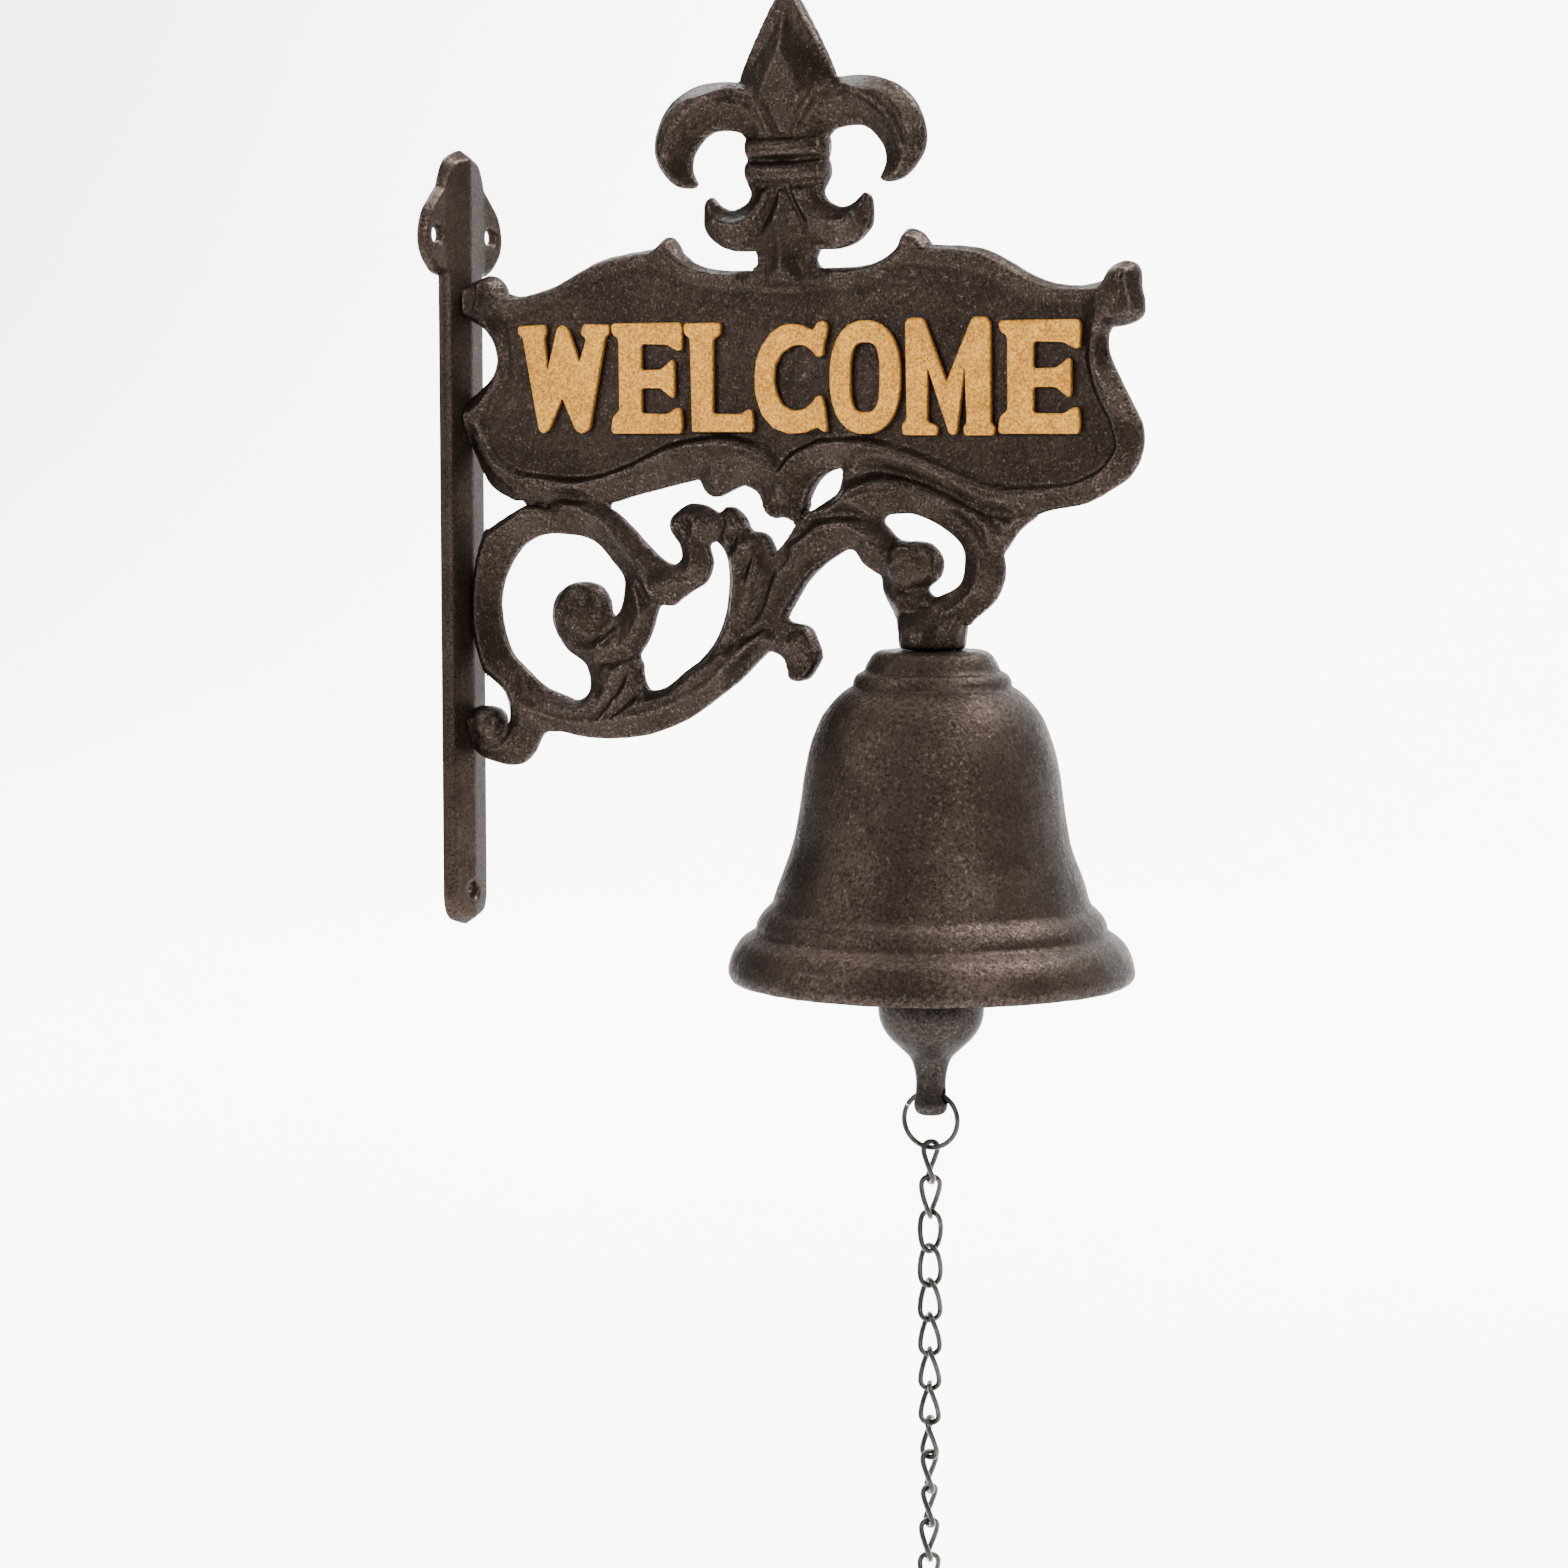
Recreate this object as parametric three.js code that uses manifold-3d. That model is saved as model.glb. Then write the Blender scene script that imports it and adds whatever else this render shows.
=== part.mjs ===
// A cast-iron bell on a wall bracket: wall plate, sign panel with a fleur-de-lis, scroll bracket,
// bell, clapper and a pull chain of twisted links.
// Millimetres. +X points out from the wall, +Z up, and the sign lies in the XZ plane.
// The origin is the centre of the wall plate's flat back.
import * as THREE from "three";
import { mergeVertices } from "three/addons/utils/BufferGeometryUtils.js";
import Module from "manifold-3d";

const wasm = await Module();
wasm.setup();

// ---------------------------------------------------------------- driving dimensions
const GAP = 0.3; // between touching pieces

const PLATE_TOP = 101;
const PLATE_HALF_WIDTH = 8.5;
const PLATE_EDGE_THICK = 2.2;
const PLATE_MID_THICK = 4.4;
const SCREW_HOLE_RADIUS = 2.2;
const COUNTERSINK_RADIUS = 4;
const SIDE_HOLE = { y: 11.7, z: 78.9 };
const BOTTOM_HOLE = { y: 0, z: -92 };

const CAST_LEFT = PLATE_MID_THICK + GAP; // where the sign and scrolls start
const RIM_HALF_THICK = 3.8;
const PANEL_HALF_THICK = 1.8;
const SCROLL_HALF_THICK = 3.5;
const SCROLL_SPLIT = 88; // the scroll casting is one node up to here and another beyond
const FINIAL_AXIS = 100.3;
const FINIAL_HALF_THICK = 3.8;

const LETTER_RISE = 1.4;
const BACK_CENTRE = 101.2; // middle of the word on the back
const BACK_BASE = 28;

const BELL_AXIS = 141.3;
const BELL_TOP = -24.5;
const BELL_RIM = -105.1;
const BOLT_RADIUS = 3;
const BOLT_CLEARANCE = 0.4;
const BOSS_RADIUS = 8.3;
const BOSS_TOP = -18.5;
const BOSS_BOTTOM = BELL_TOP + GAP;
const CROWN_UNDER = BELL_TOP - 6; // the flat inside the bell's crown, round the bolt
const BOLT_BORE = BOLT_RADIUS + BOLT_CLEARANCE;

const WASHER_RADIUS = 7;
const WASHER_THICK = 1.2;
const NUT_ACROSS_FLATS = 10;
const NUT_THICK = 4.2;

const EYE_CENTRE = -44.5; // eye at the foot of the bell bolt
const EYE_RADIUS = 5;
const EYE_WIRE = 2;
const HANGER_WIRE = 1.2;
const HANGER_LENGTH = 12; // between the wire centres of its two ends
const HANGER_HALF_WIDTH = 4.7;
const HANGER_TOP = EYE_CENTRE - EYE_RADIUS + EYE_WIRE + HANGER_WIRE + GAP;
const HANGER_BOTTOM = HANGER_TOP - HANGER_LENGTH;

const CLAPPER_EYE_RADIUS = 4;
const CLAPPER_EYE_WIRE = 1.6;
const CLAPPER_EYE = HANGER_BOTTOM + HANGER_WIRE + CLAPPER_EYE_WIRE + GAP - CLAPPER_EYE_RADIUS;
const BOB_CENTRE = -111.8;
const BOB_RADIUS = 13.2;
const TAIL_END = -139.1;
const TAIL_HOLE = -134.2;
const TAIL_HOLE_RADIUS = 2;

const HANG_YAW = THREE.MathUtils.degToRad(10); // the clapper's eyes and the ring face this way
const RING_RADIUS = 6.9;
const RING_WIRE = 0.66;
const RING_CENTRE = -140.34;

const LINK_WIRE = 0.68;
const LINK_LENGTH = 10.19; // between the wire centres of its two ends
const LINK_HALF_WIDTH = 2.55;
const LINK_CLEARANCE = 0.16;
const LINK_PITCH = LINK_LENGTH - 2 * LINK_WIRE - LINK_CLEARANCE;
const LINK_TOP = RING_CENTRE - RING_RADIUS + RING_WIRE + LINK_WIRE + LINK_CLEARANCE;
// The way each link's top end faces, in degrees: the chain hangs with an uneven turn in it.
const LINK_YAWS = [55, 31, -9, -29, -44, -54, -61, -67, -87, -122, -117, -134, -150, -165, -180, -195];

// ---------------------------------------------------------------- materials
const iron = { color: 0x3a2b24, roughness: 0.5, metalness: 0.6 };
const gold = { color: 0xc8923f, roughness: 0.45, metalness: 0.7 };
const blackSteel = { color: 0x2b2a28, roughness: 0.4, metalness: 0.8 };
const plainSteel = { color: 0x8d8d8a, roughness: 0.4, metalness: 0.9 };

// ---------------------------------------------------------------- solids
function solidFrom(geometry) {
  const bare = geometry.clone();
  bare.deleteAttribute("normal");
  bare.deleteAttribute("uv");
  const merged = mergeVertices(bare, 1e-4);
  const mesh = new wasm.Mesh({
    numProp: 3,
    vertProperties: merged.attributes.position.array,
    triVerts: new Uint32Array(merged.index.array),
  });
  return new wasm.Manifold(mesh);
}

function geometryFrom(solid) {
  const mesh = solid.getMesh();
  const geometry = new THREE.BufferGeometry();
  geometry.setAttribute("position", new THREE.BufferAttribute(mesh.vertProperties, 3));
  geometry.setIndex(new THREE.BufferAttribute(mesh.triVerts, 1));
  geometry.computeVertexNormals();
  return geometry;
}

// A closed outline. Each run is a list of points: one point is reached by a straight line,
// and several are joined by a smooth curve.
function outline(start, runs) {
  const shape = new THREE.Shape();
  shape.moveTo(start[0], start[1]);
  for (const run of runs) {
    if (run.length === 1) shape.lineTo(run[0][0], run[0][1]);
    else shape.splineThru(run.map(([x, y]) => new THREE.Vector2(x, y)));
  }
  return shape;
}

// A hole with a smooth closed edge through its points. Outlines run clockwise, and holes the
// other way.
function hole(points) {
  const edge = new THREE.CatmullRomCurve3(points.map(([x, y]) => new THREE.Vector3(x, y, 0)), true);
  const steps = edge.getPoints(2 * points.length).slice(1);
  const loop = steps.map(({ x, y }) => new THREE.Vector2(x, y));
  return new THREE.Path(THREE.ShapeUtils.isClockWise(loop) ? loop.reverse() : loop);
}

// A shape drawn in x and z, as a slab from y = near to y = far.
function slab(shape, near, far, curveSegments = 2) {
  const options = { depth: far - near, bevelEnabled: false, curveSegments };
  const geometry = new THREE.ExtrudeGeometry(shape, options);
  geometry.rotateX(Math.PI / 2);
  geometry.translate(0, far, 0);
  return geometry;
}

function cylinder(radius, bottom, top, sides) {
  const geometry = new THREE.CylinderGeometry(radius, radius, top - bottom, sides);
  geometry.rotateX(Math.PI / 2);
  geometry.translate(0, 0, (top + bottom) / 2);
  return geometry;
}

// A turned piece from a profile of [radius, z] points, listed from the top down on the outside.
function turned(profile, sides) {
  const points = profile.map(([radius, z]) => new THREE.Vector2(radius, z)).reverse();
  const geometry = new THREE.LatheGeometry(points, sides);
  geometry.rotateX(Math.PI / 2);
  return geometry;
}

// ---------------------------------------------------------------- assembly
const bell = new THREE.Group();

function place(name, geometry, look, parent = bell) {
  const mesh = new THREE.Mesh(geometry, new THREE.MeshStandardMaterial(look));
  mesh.name = name;
  parent.add(mesh);
  return mesh;
}

// ---------------------------------------------------------------- wall plate
// Drawn in y and z: a straight strip with a round foot and a three-lobed head.
function plateShape() {
  const side = (sign) => (points) => points.map(([y, z]) => [sign * y, z]);
  const right = side(1);
  const left = side(-1);
  const foot = [[8.3, -95], [6.2, -99], [0, -101.2]];
  const lobe = [[12.5, 69.6], [16.6, 74], [17.6, 79], [16, 84.5], [12.6, 88.5], [9.6, 91.5]];
  const head = [[8.6, 94.5], [6, 98.5], [0, PLATE_TOP]];
  return outline([-PLATE_HALF_WIDTH, -90], [
    left(foot),
    right(foot.slice(0, 2).reverse()).concat([[PLATE_HALF_WIDTH, -90]]),
    [[PLATE_HALF_WIDTH, 68.5]],
    right(lobe),
    right(head),
    left(head.slice(0, 2).reverse()).concat([[-9.6, 91.5]]),
    left(lobe.slice(0, 5).reverse()).concat([[-PLATE_HALF_WIDTH, 68.5]]),
  ]);
}

function screwHole({ y, z }) {
  const depth = PLATE_MID_THICK + 1;
  const cutter = turned([
    [0, depth],
    [COUNTERSINK_RADIUS + 1, depth],
    [SCREW_HOLE_RADIUS, 0.8],
    [SCREW_HOLE_RADIUS, -1],
    [0, -1],
  ], 24);
  cutter.rotateY(Math.PI / 2);
  cutter.translate(0, y, z);
  return solidFrom(cutter);
}

function wallPlate() {
  const options = { depth: PLATE_MID_THICK, bevelEnabled: false, curveSegments: 3 };
  const strip = new THREE.ExtrudeGeometry(plateShape(), options);
  // (y, z, x) of the drawing becomes (x, y, z) of the part
  strip.rotateX(Math.PI / 2);
  strip.rotateZ(Math.PI / 2);

  // The front is two slopes that meet on a ridge down the middle.
  const wide = 30;
  const roof = new THREE.Shape();
  roof.moveTo(-1, -wide);
  roof.lineTo(PLATE_EDGE_THICK, -wide);
  roof.lineTo(PLATE_EDGE_THICK, -PLATE_HALF_WIDTH);
  roof.lineTo(PLATE_MID_THICK, 0);
  roof.lineTo(PLATE_EDGE_THICK, PLATE_HALF_WIDTH);
  roof.lineTo(PLATE_EDGE_THICK, wide);
  roof.lineTo(-1, wide);
  const tall = 2.2 * PLATE_TOP;
  const prism = new THREE.ExtrudeGeometry(roof, { depth: tall, bevelEnabled: false });
  prism.translate(0, 0, -tall / 2);

  let plate = solidFrom(strip).intersect(solidFrom(prism));
  const holes = [SIDE_HOLE, { y: -SIDE_HOLE.y, z: SIDE_HOLE.z }, BOTTOM_HOLE];
  for (const spot of holes) plate = plate.subtract(screwHole(spot));
  return geometryFrom(plate);
}

// ---------------------------------------------------------------- sign panel
const SIGN_FOOT = [[169, 8.5], [161, 8.8], [152, 11.5], [142, 15], [132, 18.2], [124, 20], [117, 19.8]];

function signOutline() {
  return outline([CAST_LEFT, 57], [
    [[CAST_LEFT, 66.6]],
    [[6, 67], [11, 68.5], [14, 67], [15.5, 64]],
    [[20.5, 63], [26, 64], [31.5, 65.5], [38, 68.5], [45, 71.5], [52, 73], [60, 74]],
    [[62, 74.5], [65, 77], [67, 76.5], [69, 73.5], [73, 70.5], [78, 69], [84, 68.3]],
    [[119, 68.5]],
    [[125.5, 69.5], [131, 72.5], [133, 76], [135, 77.5], [138, 76.5], [140.5, 73.5]],
    [[149.5, 73], [155.5, 72], [162, 69], [168.5, 65.5], [175, 63.5], [182, 63], [187, 64]],
    [[189, 67], [193, 68.5], [196, 67], [196.5, 62.5]],
    [[197.5, 57.5], [196.5, 55], [193, 53.5], [189, 53]],
    [[188, 51], [188.5, 46.5], [191, 41.5], [194, 36], [197, 30.5], [197.5, 26], [196.5, 22],
      [194, 18], [189.5, 15], [182.5, 11.5], [174, 10], [169, 8.5]],
    SIGN_FOOT.slice(1),
    [[112, 18.5], [108.5, 15.5], [106.5, 12], [106, 9.5], [103, 6]],
    [[99.5, 7.3], [96.5, 7], [93.7, 9.5], [93, 12.5], [88, 15], [83, 13.3], [79.5, 12],
      [76.5, 13.5], [75, 16.5]],
    [[67.5, 15], [54.5, 12], [46.5, 10], [34, 9.2], [24, 10.5], [18.5, 10.5]],
    [[10.5, 14.8], [CAST_LEFT, 25]],
    [[CAST_LEFT, 37]],
    [[7, 38.5], [11.5, 42.5], [13, 47], [11.5, 52], [8, 55.5], [CAST_LEFT, 57]],
  ]);
}

// The sunk field inside the raised rim.
function fieldOutline() {
  return outline([17, 57], [
    [[22, 58.5], [30, 60.5], [40, 65], [50, 68], [58, 69], [65, 68], [72, 65], [82, 63]],
    [[118, 63]],
    [[126, 64.5], [134, 68.5], [145, 67.5], [155, 65.5], [163, 61.5], [172, 58.8], [181.6, 58.4]],
    [[183.2, 52], [183.2, 46], [185.5, 38], [190, 30], [191, 24], [188, 20]],
    [[180, 16.5], [168, 15.5], [158, 16.5], [147, 20.5], [136, 24], [124, 27], [110, 26.5]],
    [[103, 23.5], [99.5, 20]],
    [[94, 25], [85, 27.3], [76, 27], [66, 25], [54, 20], [43, 17], [31, 17], [21, 18]],
    [[13, 22.5], [10.5, 30], [13.5, 37], [17.5, 44], [17.5, 51], [17, 57]],
  ]);
}

function signPanel() {
  const body = solidFrom(slab(signOutline(), -RIM_HALF_THICK, RIM_HALF_THICK));
  const front = solidFrom(slab(fieldOutline(), -RIM_HALF_THICK - 1, -PANEL_HALF_THICK));
  const back = solidFrom(slab(fieldOutline(), PANEL_HALF_THICK, RIM_HALF_THICK + 1));
  return geometryFrom(body.subtract(front).subtract(back));
}

// ---------------------------------------------------------------- raised letters
// Plain slab-serif capitals, drawn in a unit box that is scaled to each letter's width.
const LETTER_E = [
  [0.03, 0], [0.98, 0], [1, 0.08], [0.98, 0.23], [0.92, 0.235], [0.8, 0.18], [0.43, 0.185],
  [0.425, 0.41], [0.7, 0.41], [0.82, 0.34], [0.87, 0.32], [0.89, 0.36], [0.885, 0.65],
  [0.85, 0.665], [0.78, 0.62], [0.7, 0.58], [0.425, 0.575], [0.425, 0.81], [0.79, 0.8],
  [0.93, 0.745], [0.99, 0.75], [1, 0.95], [0.97, 1], [0.03, 1], [0, 0.97], [0.02, 0.9],
  [0.105, 0.86], [0.115, 0.21], [0.02, 0.15], [0, 0.03],
];
const LETTER_L = [
  [0.13, 0], [0.98, 0], [1, 0.05], [0.98, 0.2], [0.92, 0.21], [0.82, 0.165], [0.42, 0.17],
  [0.42, 0.85], [0.52, 0.89], [0.53, 0.98], [0.5, 1], [0.02, 1], [0, 0.97], [0.01, 0.9],
  [0.09, 0.86], [0.12, 0.04],
];
const LETTER_W = [
  [0, 0.99], [0, 0.92], [0.05, 0.88], [0.225, 0.03], [0.27, 0], [0.33, 0.03], [0.483, 0.33],
  [0.63, 0.03], [0.7, 0], [0.78, 0.04], [0.955, 0.88], [1, 0.91], [1, 0.99], [0.72, 1],
  [0.69, 0.91], [0.75, 0.86], [0.675, 0.65], [0.55, 0.96], [0.485, 1], [0.43, 0.96],
  [0.325, 0.58], [0.285, 0.88], [0.31, 0.92], [0.3, 1],
];
const LETTER_M = [
  [0.01, 0], [0.38, 0], [0.385, 0.08], [0.27, 0.12], [0.275, 0.58], [0.51, 0.02], [0.55, 0],
  [0.59, 0.02], [0.675, 0.58], [0.7, 0.11], [0.665, 0.07], [0.675, 0], [0.985, 0], [1, 0.07],
  [0.955, 0.11], [0.945, 0.95], [0.9, 1], [0.77, 1], [0.74, 0.97], [0.48, 0.456],
  [0.235, 0.98], [0.2, 1], [0.07, 1], [0.03, 0.96], [0.05, 0.14], [0, 0.09],
];
const LETTER_C = [
  [0.96, 0.014], [0.857, 0.06], [0.8, 0.04], [0.68, 0.01], [0.47, 0], [0.26, 0.05], [0.1, 0.17],
  [0.01, 0.35], [0, 0.507], [0.024, 0.666], [0.1, 0.785], [0.232, 0.905], [0.38, 0.964],
  [0.5, 0.978], [0.65, 0.964], [0.8, 0.914], [0.863, 0.984], [0.94, 1], [1, 0.964],
  [0.982, 0.865], [0.946, 0.785], [0.94, 0.69], [0.863, 0.676], [0.783, 0.742], [0.68, 0.785],
  [0.53, 0.785], [0.366, 0.716], [0.277, 0.606], [0.262, 0.467], [0.307, 0.348], [0.38, 0.258],
  [0.53, 0.205], [0.68, 0.219], [0.783, 0.268], [0.857, 0.338], [0.923, 0.338], [0.96, 0.25],
  [1, 0.03],
];
// The O is two bows: half width, half height, and a power that squares them off as it grows past 2.
const BOW_OUTER = { halfWidth: 0.5, halfHeight: 0.5, power: 2.3 };
const BOW_INNER = { halfWidth: 0.21, halfHeight: 0.305, power: 3.2 };
const BOW_STEPS = 24;

function bow({ halfWidth, halfHeight, power }) {
  const squared = (value) => Math.sign(value) * Math.abs(value) ** (2 / power);
  const points = [];
  for (let i = 0; i < BOW_STEPS; i++) {
    const angle = ((i + 0.5) / BOW_STEPS) * 2 * Math.PI;
    points.push([
      0.5 + halfWidth * squared(Math.cos(angle)),
      0.5 + halfHeight * squared(Math.sin(angle)),
    ]);
  }
  return points;
}

const GREETING = [
  { name: "w", left: 21.2, right: 49.2, base: 27.9, top: 55.7, outer: LETTER_W },
  { name: "e1", left: 49.8, right: 71.1, base: 27.9, top: 55.7, outer: LETTER_E },
  { name: "l", left: 71.6, right: 92, base: 28.3, top: 55.5, outer: LETTER_L },
  { name: "c", left: 92.4, right: 113.3, base: 27.9, top: 55.6, outer: LETTER_C },
  {
    name: "o",
    left: 113.9,
    right: 133.8,
    base: 27.8,
    top: 55.6,
    outer: bow(BOW_OUTER),
    inner: bow(BOW_INNER),
  },
  { name: "m", left: 134.3, right: 159.7, base: 27.6, top: 55.9, outer: LETTER_M },
  { name: "e2", left: 160.6, right: 182.4, base: 28, top: 55, outer: LETTER_E },
];

function letterShape({ left, right, base, top, outer, inner }) {
  const sized = ([u, v]) => new THREE.Vector2(left + u * (right - left), base + v * (top - base));
  const shape = new THREE.Shape(outer.map(sized));
  if (inner) shape.holes.push(new THREE.Path(inner.map(sized)));
  return shape;
}

// The same word stands on both faces, and reads left to right on each; the back's is level at its foot.
function addLetters() {
  const face = -PANEL_HALF_THICK - GAP;
  for (const letter of GREETING) {
    const front = slab(letterShape(letter), face - LETTER_RISE, face);
    place("letter_front_" + letter.name, front, gold);
    const back = slab(letterShape({ ...letter, base: BACK_BASE }), face - LETTER_RISE, face);
    back.translate(-BACK_CENTRE, 0, 0);
    back.rotateZ(Math.PI);
    back.translate(BACK_CENTRE, 0, 0);
    place("letter_back_" + letter.name, back, gold);
  }
}

// ---------------------------------------------------------------- fleur-de-lis
// Half of the flower, as distances from its axis; the other half is its mirror image.
const FINIAL_FOOT = 68.8;

function finial() {
  const spike = [[-3, 134], [-8.8, 124.5], [-11.3, 120], [-12.6, 117.3], [-13.6, 114.5]];
  const petalOuter = [[-19, 114.8], [-25, 114.3], [-31, 112], [-35.5, 108], [-38.2, 102.5],
    [-38.4, 97], [-36, 92.8], [-33, 90], [-30, 89], [-27.5, 89], [-26.5, 90]];
  const petalInner = [[-28, 93], [-28, 96], [-26.3, 99], [-23, 102], [-18.5, 102.8], [-13.3, 102],
    [-11.2, 99.8]];
  const collar = [[-11.2, 89.3]];
  const lowPetal = [[-10, 87], [-11.8, 84.5], [-15.5, 83.2], [-19, 84], [-22, 86.5]];
  const lowPetalUnder = [[-23.5, 85.5], [-24, 83], [-23.8, 79], [-22, 76.5], [-19, 74.3],
    [-14.5, 73], [-9, 73]];
  const stem = [[-8, 71], [-8.8, FINIAL_FOOT]];
  const leftRuns = [spike, petalOuter, petalInner, collar, lowPetal, lowPetalUnder, stem];

  // The mirrored half is followed upwards, from the foot back to the tip.
  const tip = [0, 137.5];
  const all = [tip, ...leftRuns.flat()];
  const mirrored = ([x, z]) => [-x, z];
  const rightRuns = [[mirrored(all[all.length - 1])]];
  let end = all.length - 1;
  for (const run of [...leftRuns].reverse()) {
    const start = end - run.length;
    rightRuns.push(all.slice(start, end).reverse().map(mirrored));
    end = start;
  }
  const shape = outline(tip, [...leftRuns, ...rightRuns]);
  const geometry = slab(shape, -FINIAL_HALF_THICK, FINIAL_HALF_THICK);
  geometry.translate(FINIAL_AXIS, 0, 0);
  return geometry;
}

// ---------------------------------------------------------------- scroll bracket
function scrollShape() {
  const underSign = SIGN_FOOT.slice().reverse().map(([x, z]) => [x, z - 2 * GAP]);
  const shape = outline([CAST_LEFT, -1], [
    [[8, 2], [13, 5], [18.5, 8], [22, 9.6]],
    [[34, 8.6], [46.5, 9.3]],
    [[49, 8], [53.5, 4.5], [59, -0.5], [63.5, -4], [67, -5], [69.5, -3.5], [69, 0], [66.5, 3],
      [66, 6], [69, 9], [73, 10.5], [77.5, 9.5], [80.5, 8], [83.5, 10], [87.5, 7.5], [89.5, 4],
      [93, 3.5], [95, 2], [97, -2]],
    [[100, 1], [102.6, 4.6]],
    [[106.6, 8.6]],
    [[108.5, 9.5], [112, 11.5], [115, 13.5], [116.4, 17.4]],
    underSign,
    [[165, 5], [162, 1], [160.5, -1], [161, -4], [160.5, -8], [158, -12.5], [153, -16.5],
      [151.5, BOSS_TOP + GAP]],
    [[132.2, BOSS_TOP + GAP]],
    [[130.5, -15], [128, -10.5], [127.5, -7], [126, -6], [122.5, -4], [120.5, -1.5], [119.5, -0.5],
      [117, -0.5]],
    [[113.5, -2.5], [110.5, -4.5], [106, -8.5], [102.5, -13.5], [100, -17.5], [101, -18.5],
      [103, -19], [106, -19.5], [108, -22], [110, -26.5], [109, -29], [106.5, -32.5],
      [103.5, -33.5], [101.5, -33]],
    [[101, -31], [100, -28], [97, -26.5], [94.5, -26.5], [91.5, -29], [86, -34], [79.5, -38.5],
      [72, -43.5], [64, -47], [57, -49], [48.5, -50], [40, -50], [33.5, -49], [28.5, -49]],
    [[26, -50], [23, -55], [19, -58], [13.5, -58], [7.5, -56.5], [CAST_LEFT, -54.5]],
    [[CAST_LEFT, -44]],
    [[7.5, -43], [11.5, -43.5], [14, -46], [14.5, -48], [16, -47], [16, -42.5], [14, -38.5],
      [10, -35.5], [7, -33.5], [CAST_LEFT, -32.5]],
  ]);
  const ringHole = [[40, 1.5], [36, 2], [27.5, 2], [21, -0.5], [16.5, -5.5], [13.5, -12],
    [13, -17.5], [14, -23], [16.5, -29], [21.5, -33.5], [27, -37.5], [33, -39.5], [37.5, -40.5],
    [41, -38.5], [41.5, -35], [40, -31], [35, -28], [32, -24.5], [30, -20.5], [30.5, -15],
    [34, -11.5], [38, -10], [43, -10.5], [45.5, -12.5], [47, -15.5], [48.5, -19], [51, -16.5],
    [52, -13], [52, -8.5], [48.5, -4.5], [44.5, -0.5]];
  const leafHole = [[78, 0.5], [80, 1], [82.5, -2], [83.5, -6], [83.5, -11], [82.5, -17.5],
    [79.5, -24], [75, -29], [70.5, -32], [66, -35.5], [62, -37], [59, -37], [57.5, -34.5],
    [57, -30.5], [56, -28.5], [58.5, -25], [60.5, -20.5], [61.5, -17], [62.5, -15.5],
    [66.5, -15.5], [68.5, -14], [72.5, -11.5], [76, -9.5], [78, -5.5], [78, -3], [77, 0]];
  const hookHole = [[127.5, 6.5], [128.5, 8], [132.5, 8.5], [136.5, 8.5], [141, 7], [145, 5],
    [148.5, 2.5], [150.5, -0.5], [150.5, -3.5], [150, -7], [148.5, -9], [145.5, -10.5],
    [142.5, -11.5], [141, -11], [140, -9.5], [142.5, -7.5], [144, -5], [144, -2.5],
    [143, -0.5], [140.5, 1.5], [136.5, 2], [133, 2], [131, 3], [129, 5]];
  for (const points of [ringHole, leafHole, hookHole]) shape.holes.push(hole(points));
  return shape;
}

function addScrolls() {
  const scrolls = solidFrom(slab(scrollShape(), -SCROLL_HALF_THICK, SCROLL_HALF_THICK));
  const reach = 200;
  const half = new THREE.BoxGeometry(reach, reach, 2 * reach);
  const inner = half.clone();
  inner.translate(SCROLL_SPLIT - reach / 2, 0, 0);
  const outer = half.clone();
  outer.translate(SCROLL_SPLIT + GAP + reach / 2, 0, 0);
  place("scroll_bracket", geometryFrom(scrolls.intersect(solidFrom(inner))), iron);
  place("hook_arm", geometryFrom(scrolls.intersect(solidFrom(outer))), iron);
}

// The round foot of the hook, bored for the bell bolt.
function hookBoss() {
  const boss = turned([
    [BOLT_BORE, BOSS_TOP],
    [BOSS_RADIUS - 1.4, BOSS_TOP],
    [BOSS_RADIUS, BOSS_TOP - 2],
    [BOSS_RADIUS, BOSS_BOTTOM + 0.8],
    [BOSS_RADIUS - 0.8, BOSS_BOTTOM],
    [BOLT_BORE, BOSS_BOTTOM],
    [BOLT_BORE, BOSS_TOP],
  ], 28);
  boss.translate(BELL_AXIS, 0, 0);
  return boss;
}

// ---------------------------------------------------------------- bell and its bolt
function bellShell() {
  const outside = [
    [BOLT_BORE, BELL_TOP], [12.4, BELL_TOP], [14.4, -25.4], [16.2, -28.4], [16.6, -29.4],
    [18.4, -30.4], [19.3, -32], [19.4, -33.2], [21.6, -34.6], [24, -36.8], [26.8, -40.6],
    [28.6, -44.5], [29.9, -48.5], [31.2, -54.4], [32.3, -62.2], [33.6, -70.1], [34.7, -74],
    [36.1, -77.9], [37.5, -81.8], [39.2, -86.7], [40.8, -88.2], [42.2, -90], [42.9, -91.5],
    [43.2, -93], [44.8, -94.2], [46.9, -95.8], [48.3, -97.8], [49.3, -100], [49.9, -102.6],
    [49.8, -103.9], [49, BELL_RIM],
  ];
  const inside = [
    [45.2, BELL_RIM], [43.2, -101], [40.3, -95.5], [37.2, -90], [34.6, -84.5], [32.4, -79],
    [30.5, -73.5], [29.4, -67], [28.2, -58], [26.6, -49.5], [24.4, -43.8], [21, -39],
    [16.6, -34.6], [12, -31.2], [BOLT_BORE, CROWN_UNDER], [BOLT_BORE, BELL_TOP],
  ];
  return turned([...outside, ...inside], 40);
}

const WASHER_TOP = CROWN_UNDER - GAP;
const WASHER_BOTTOM = WASHER_TOP - WASHER_THICK;
const NUT_TOP = WASHER_BOTTOM - GAP;
const NUT_BOTTOM = NUT_TOP - NUT_THICK;

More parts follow.
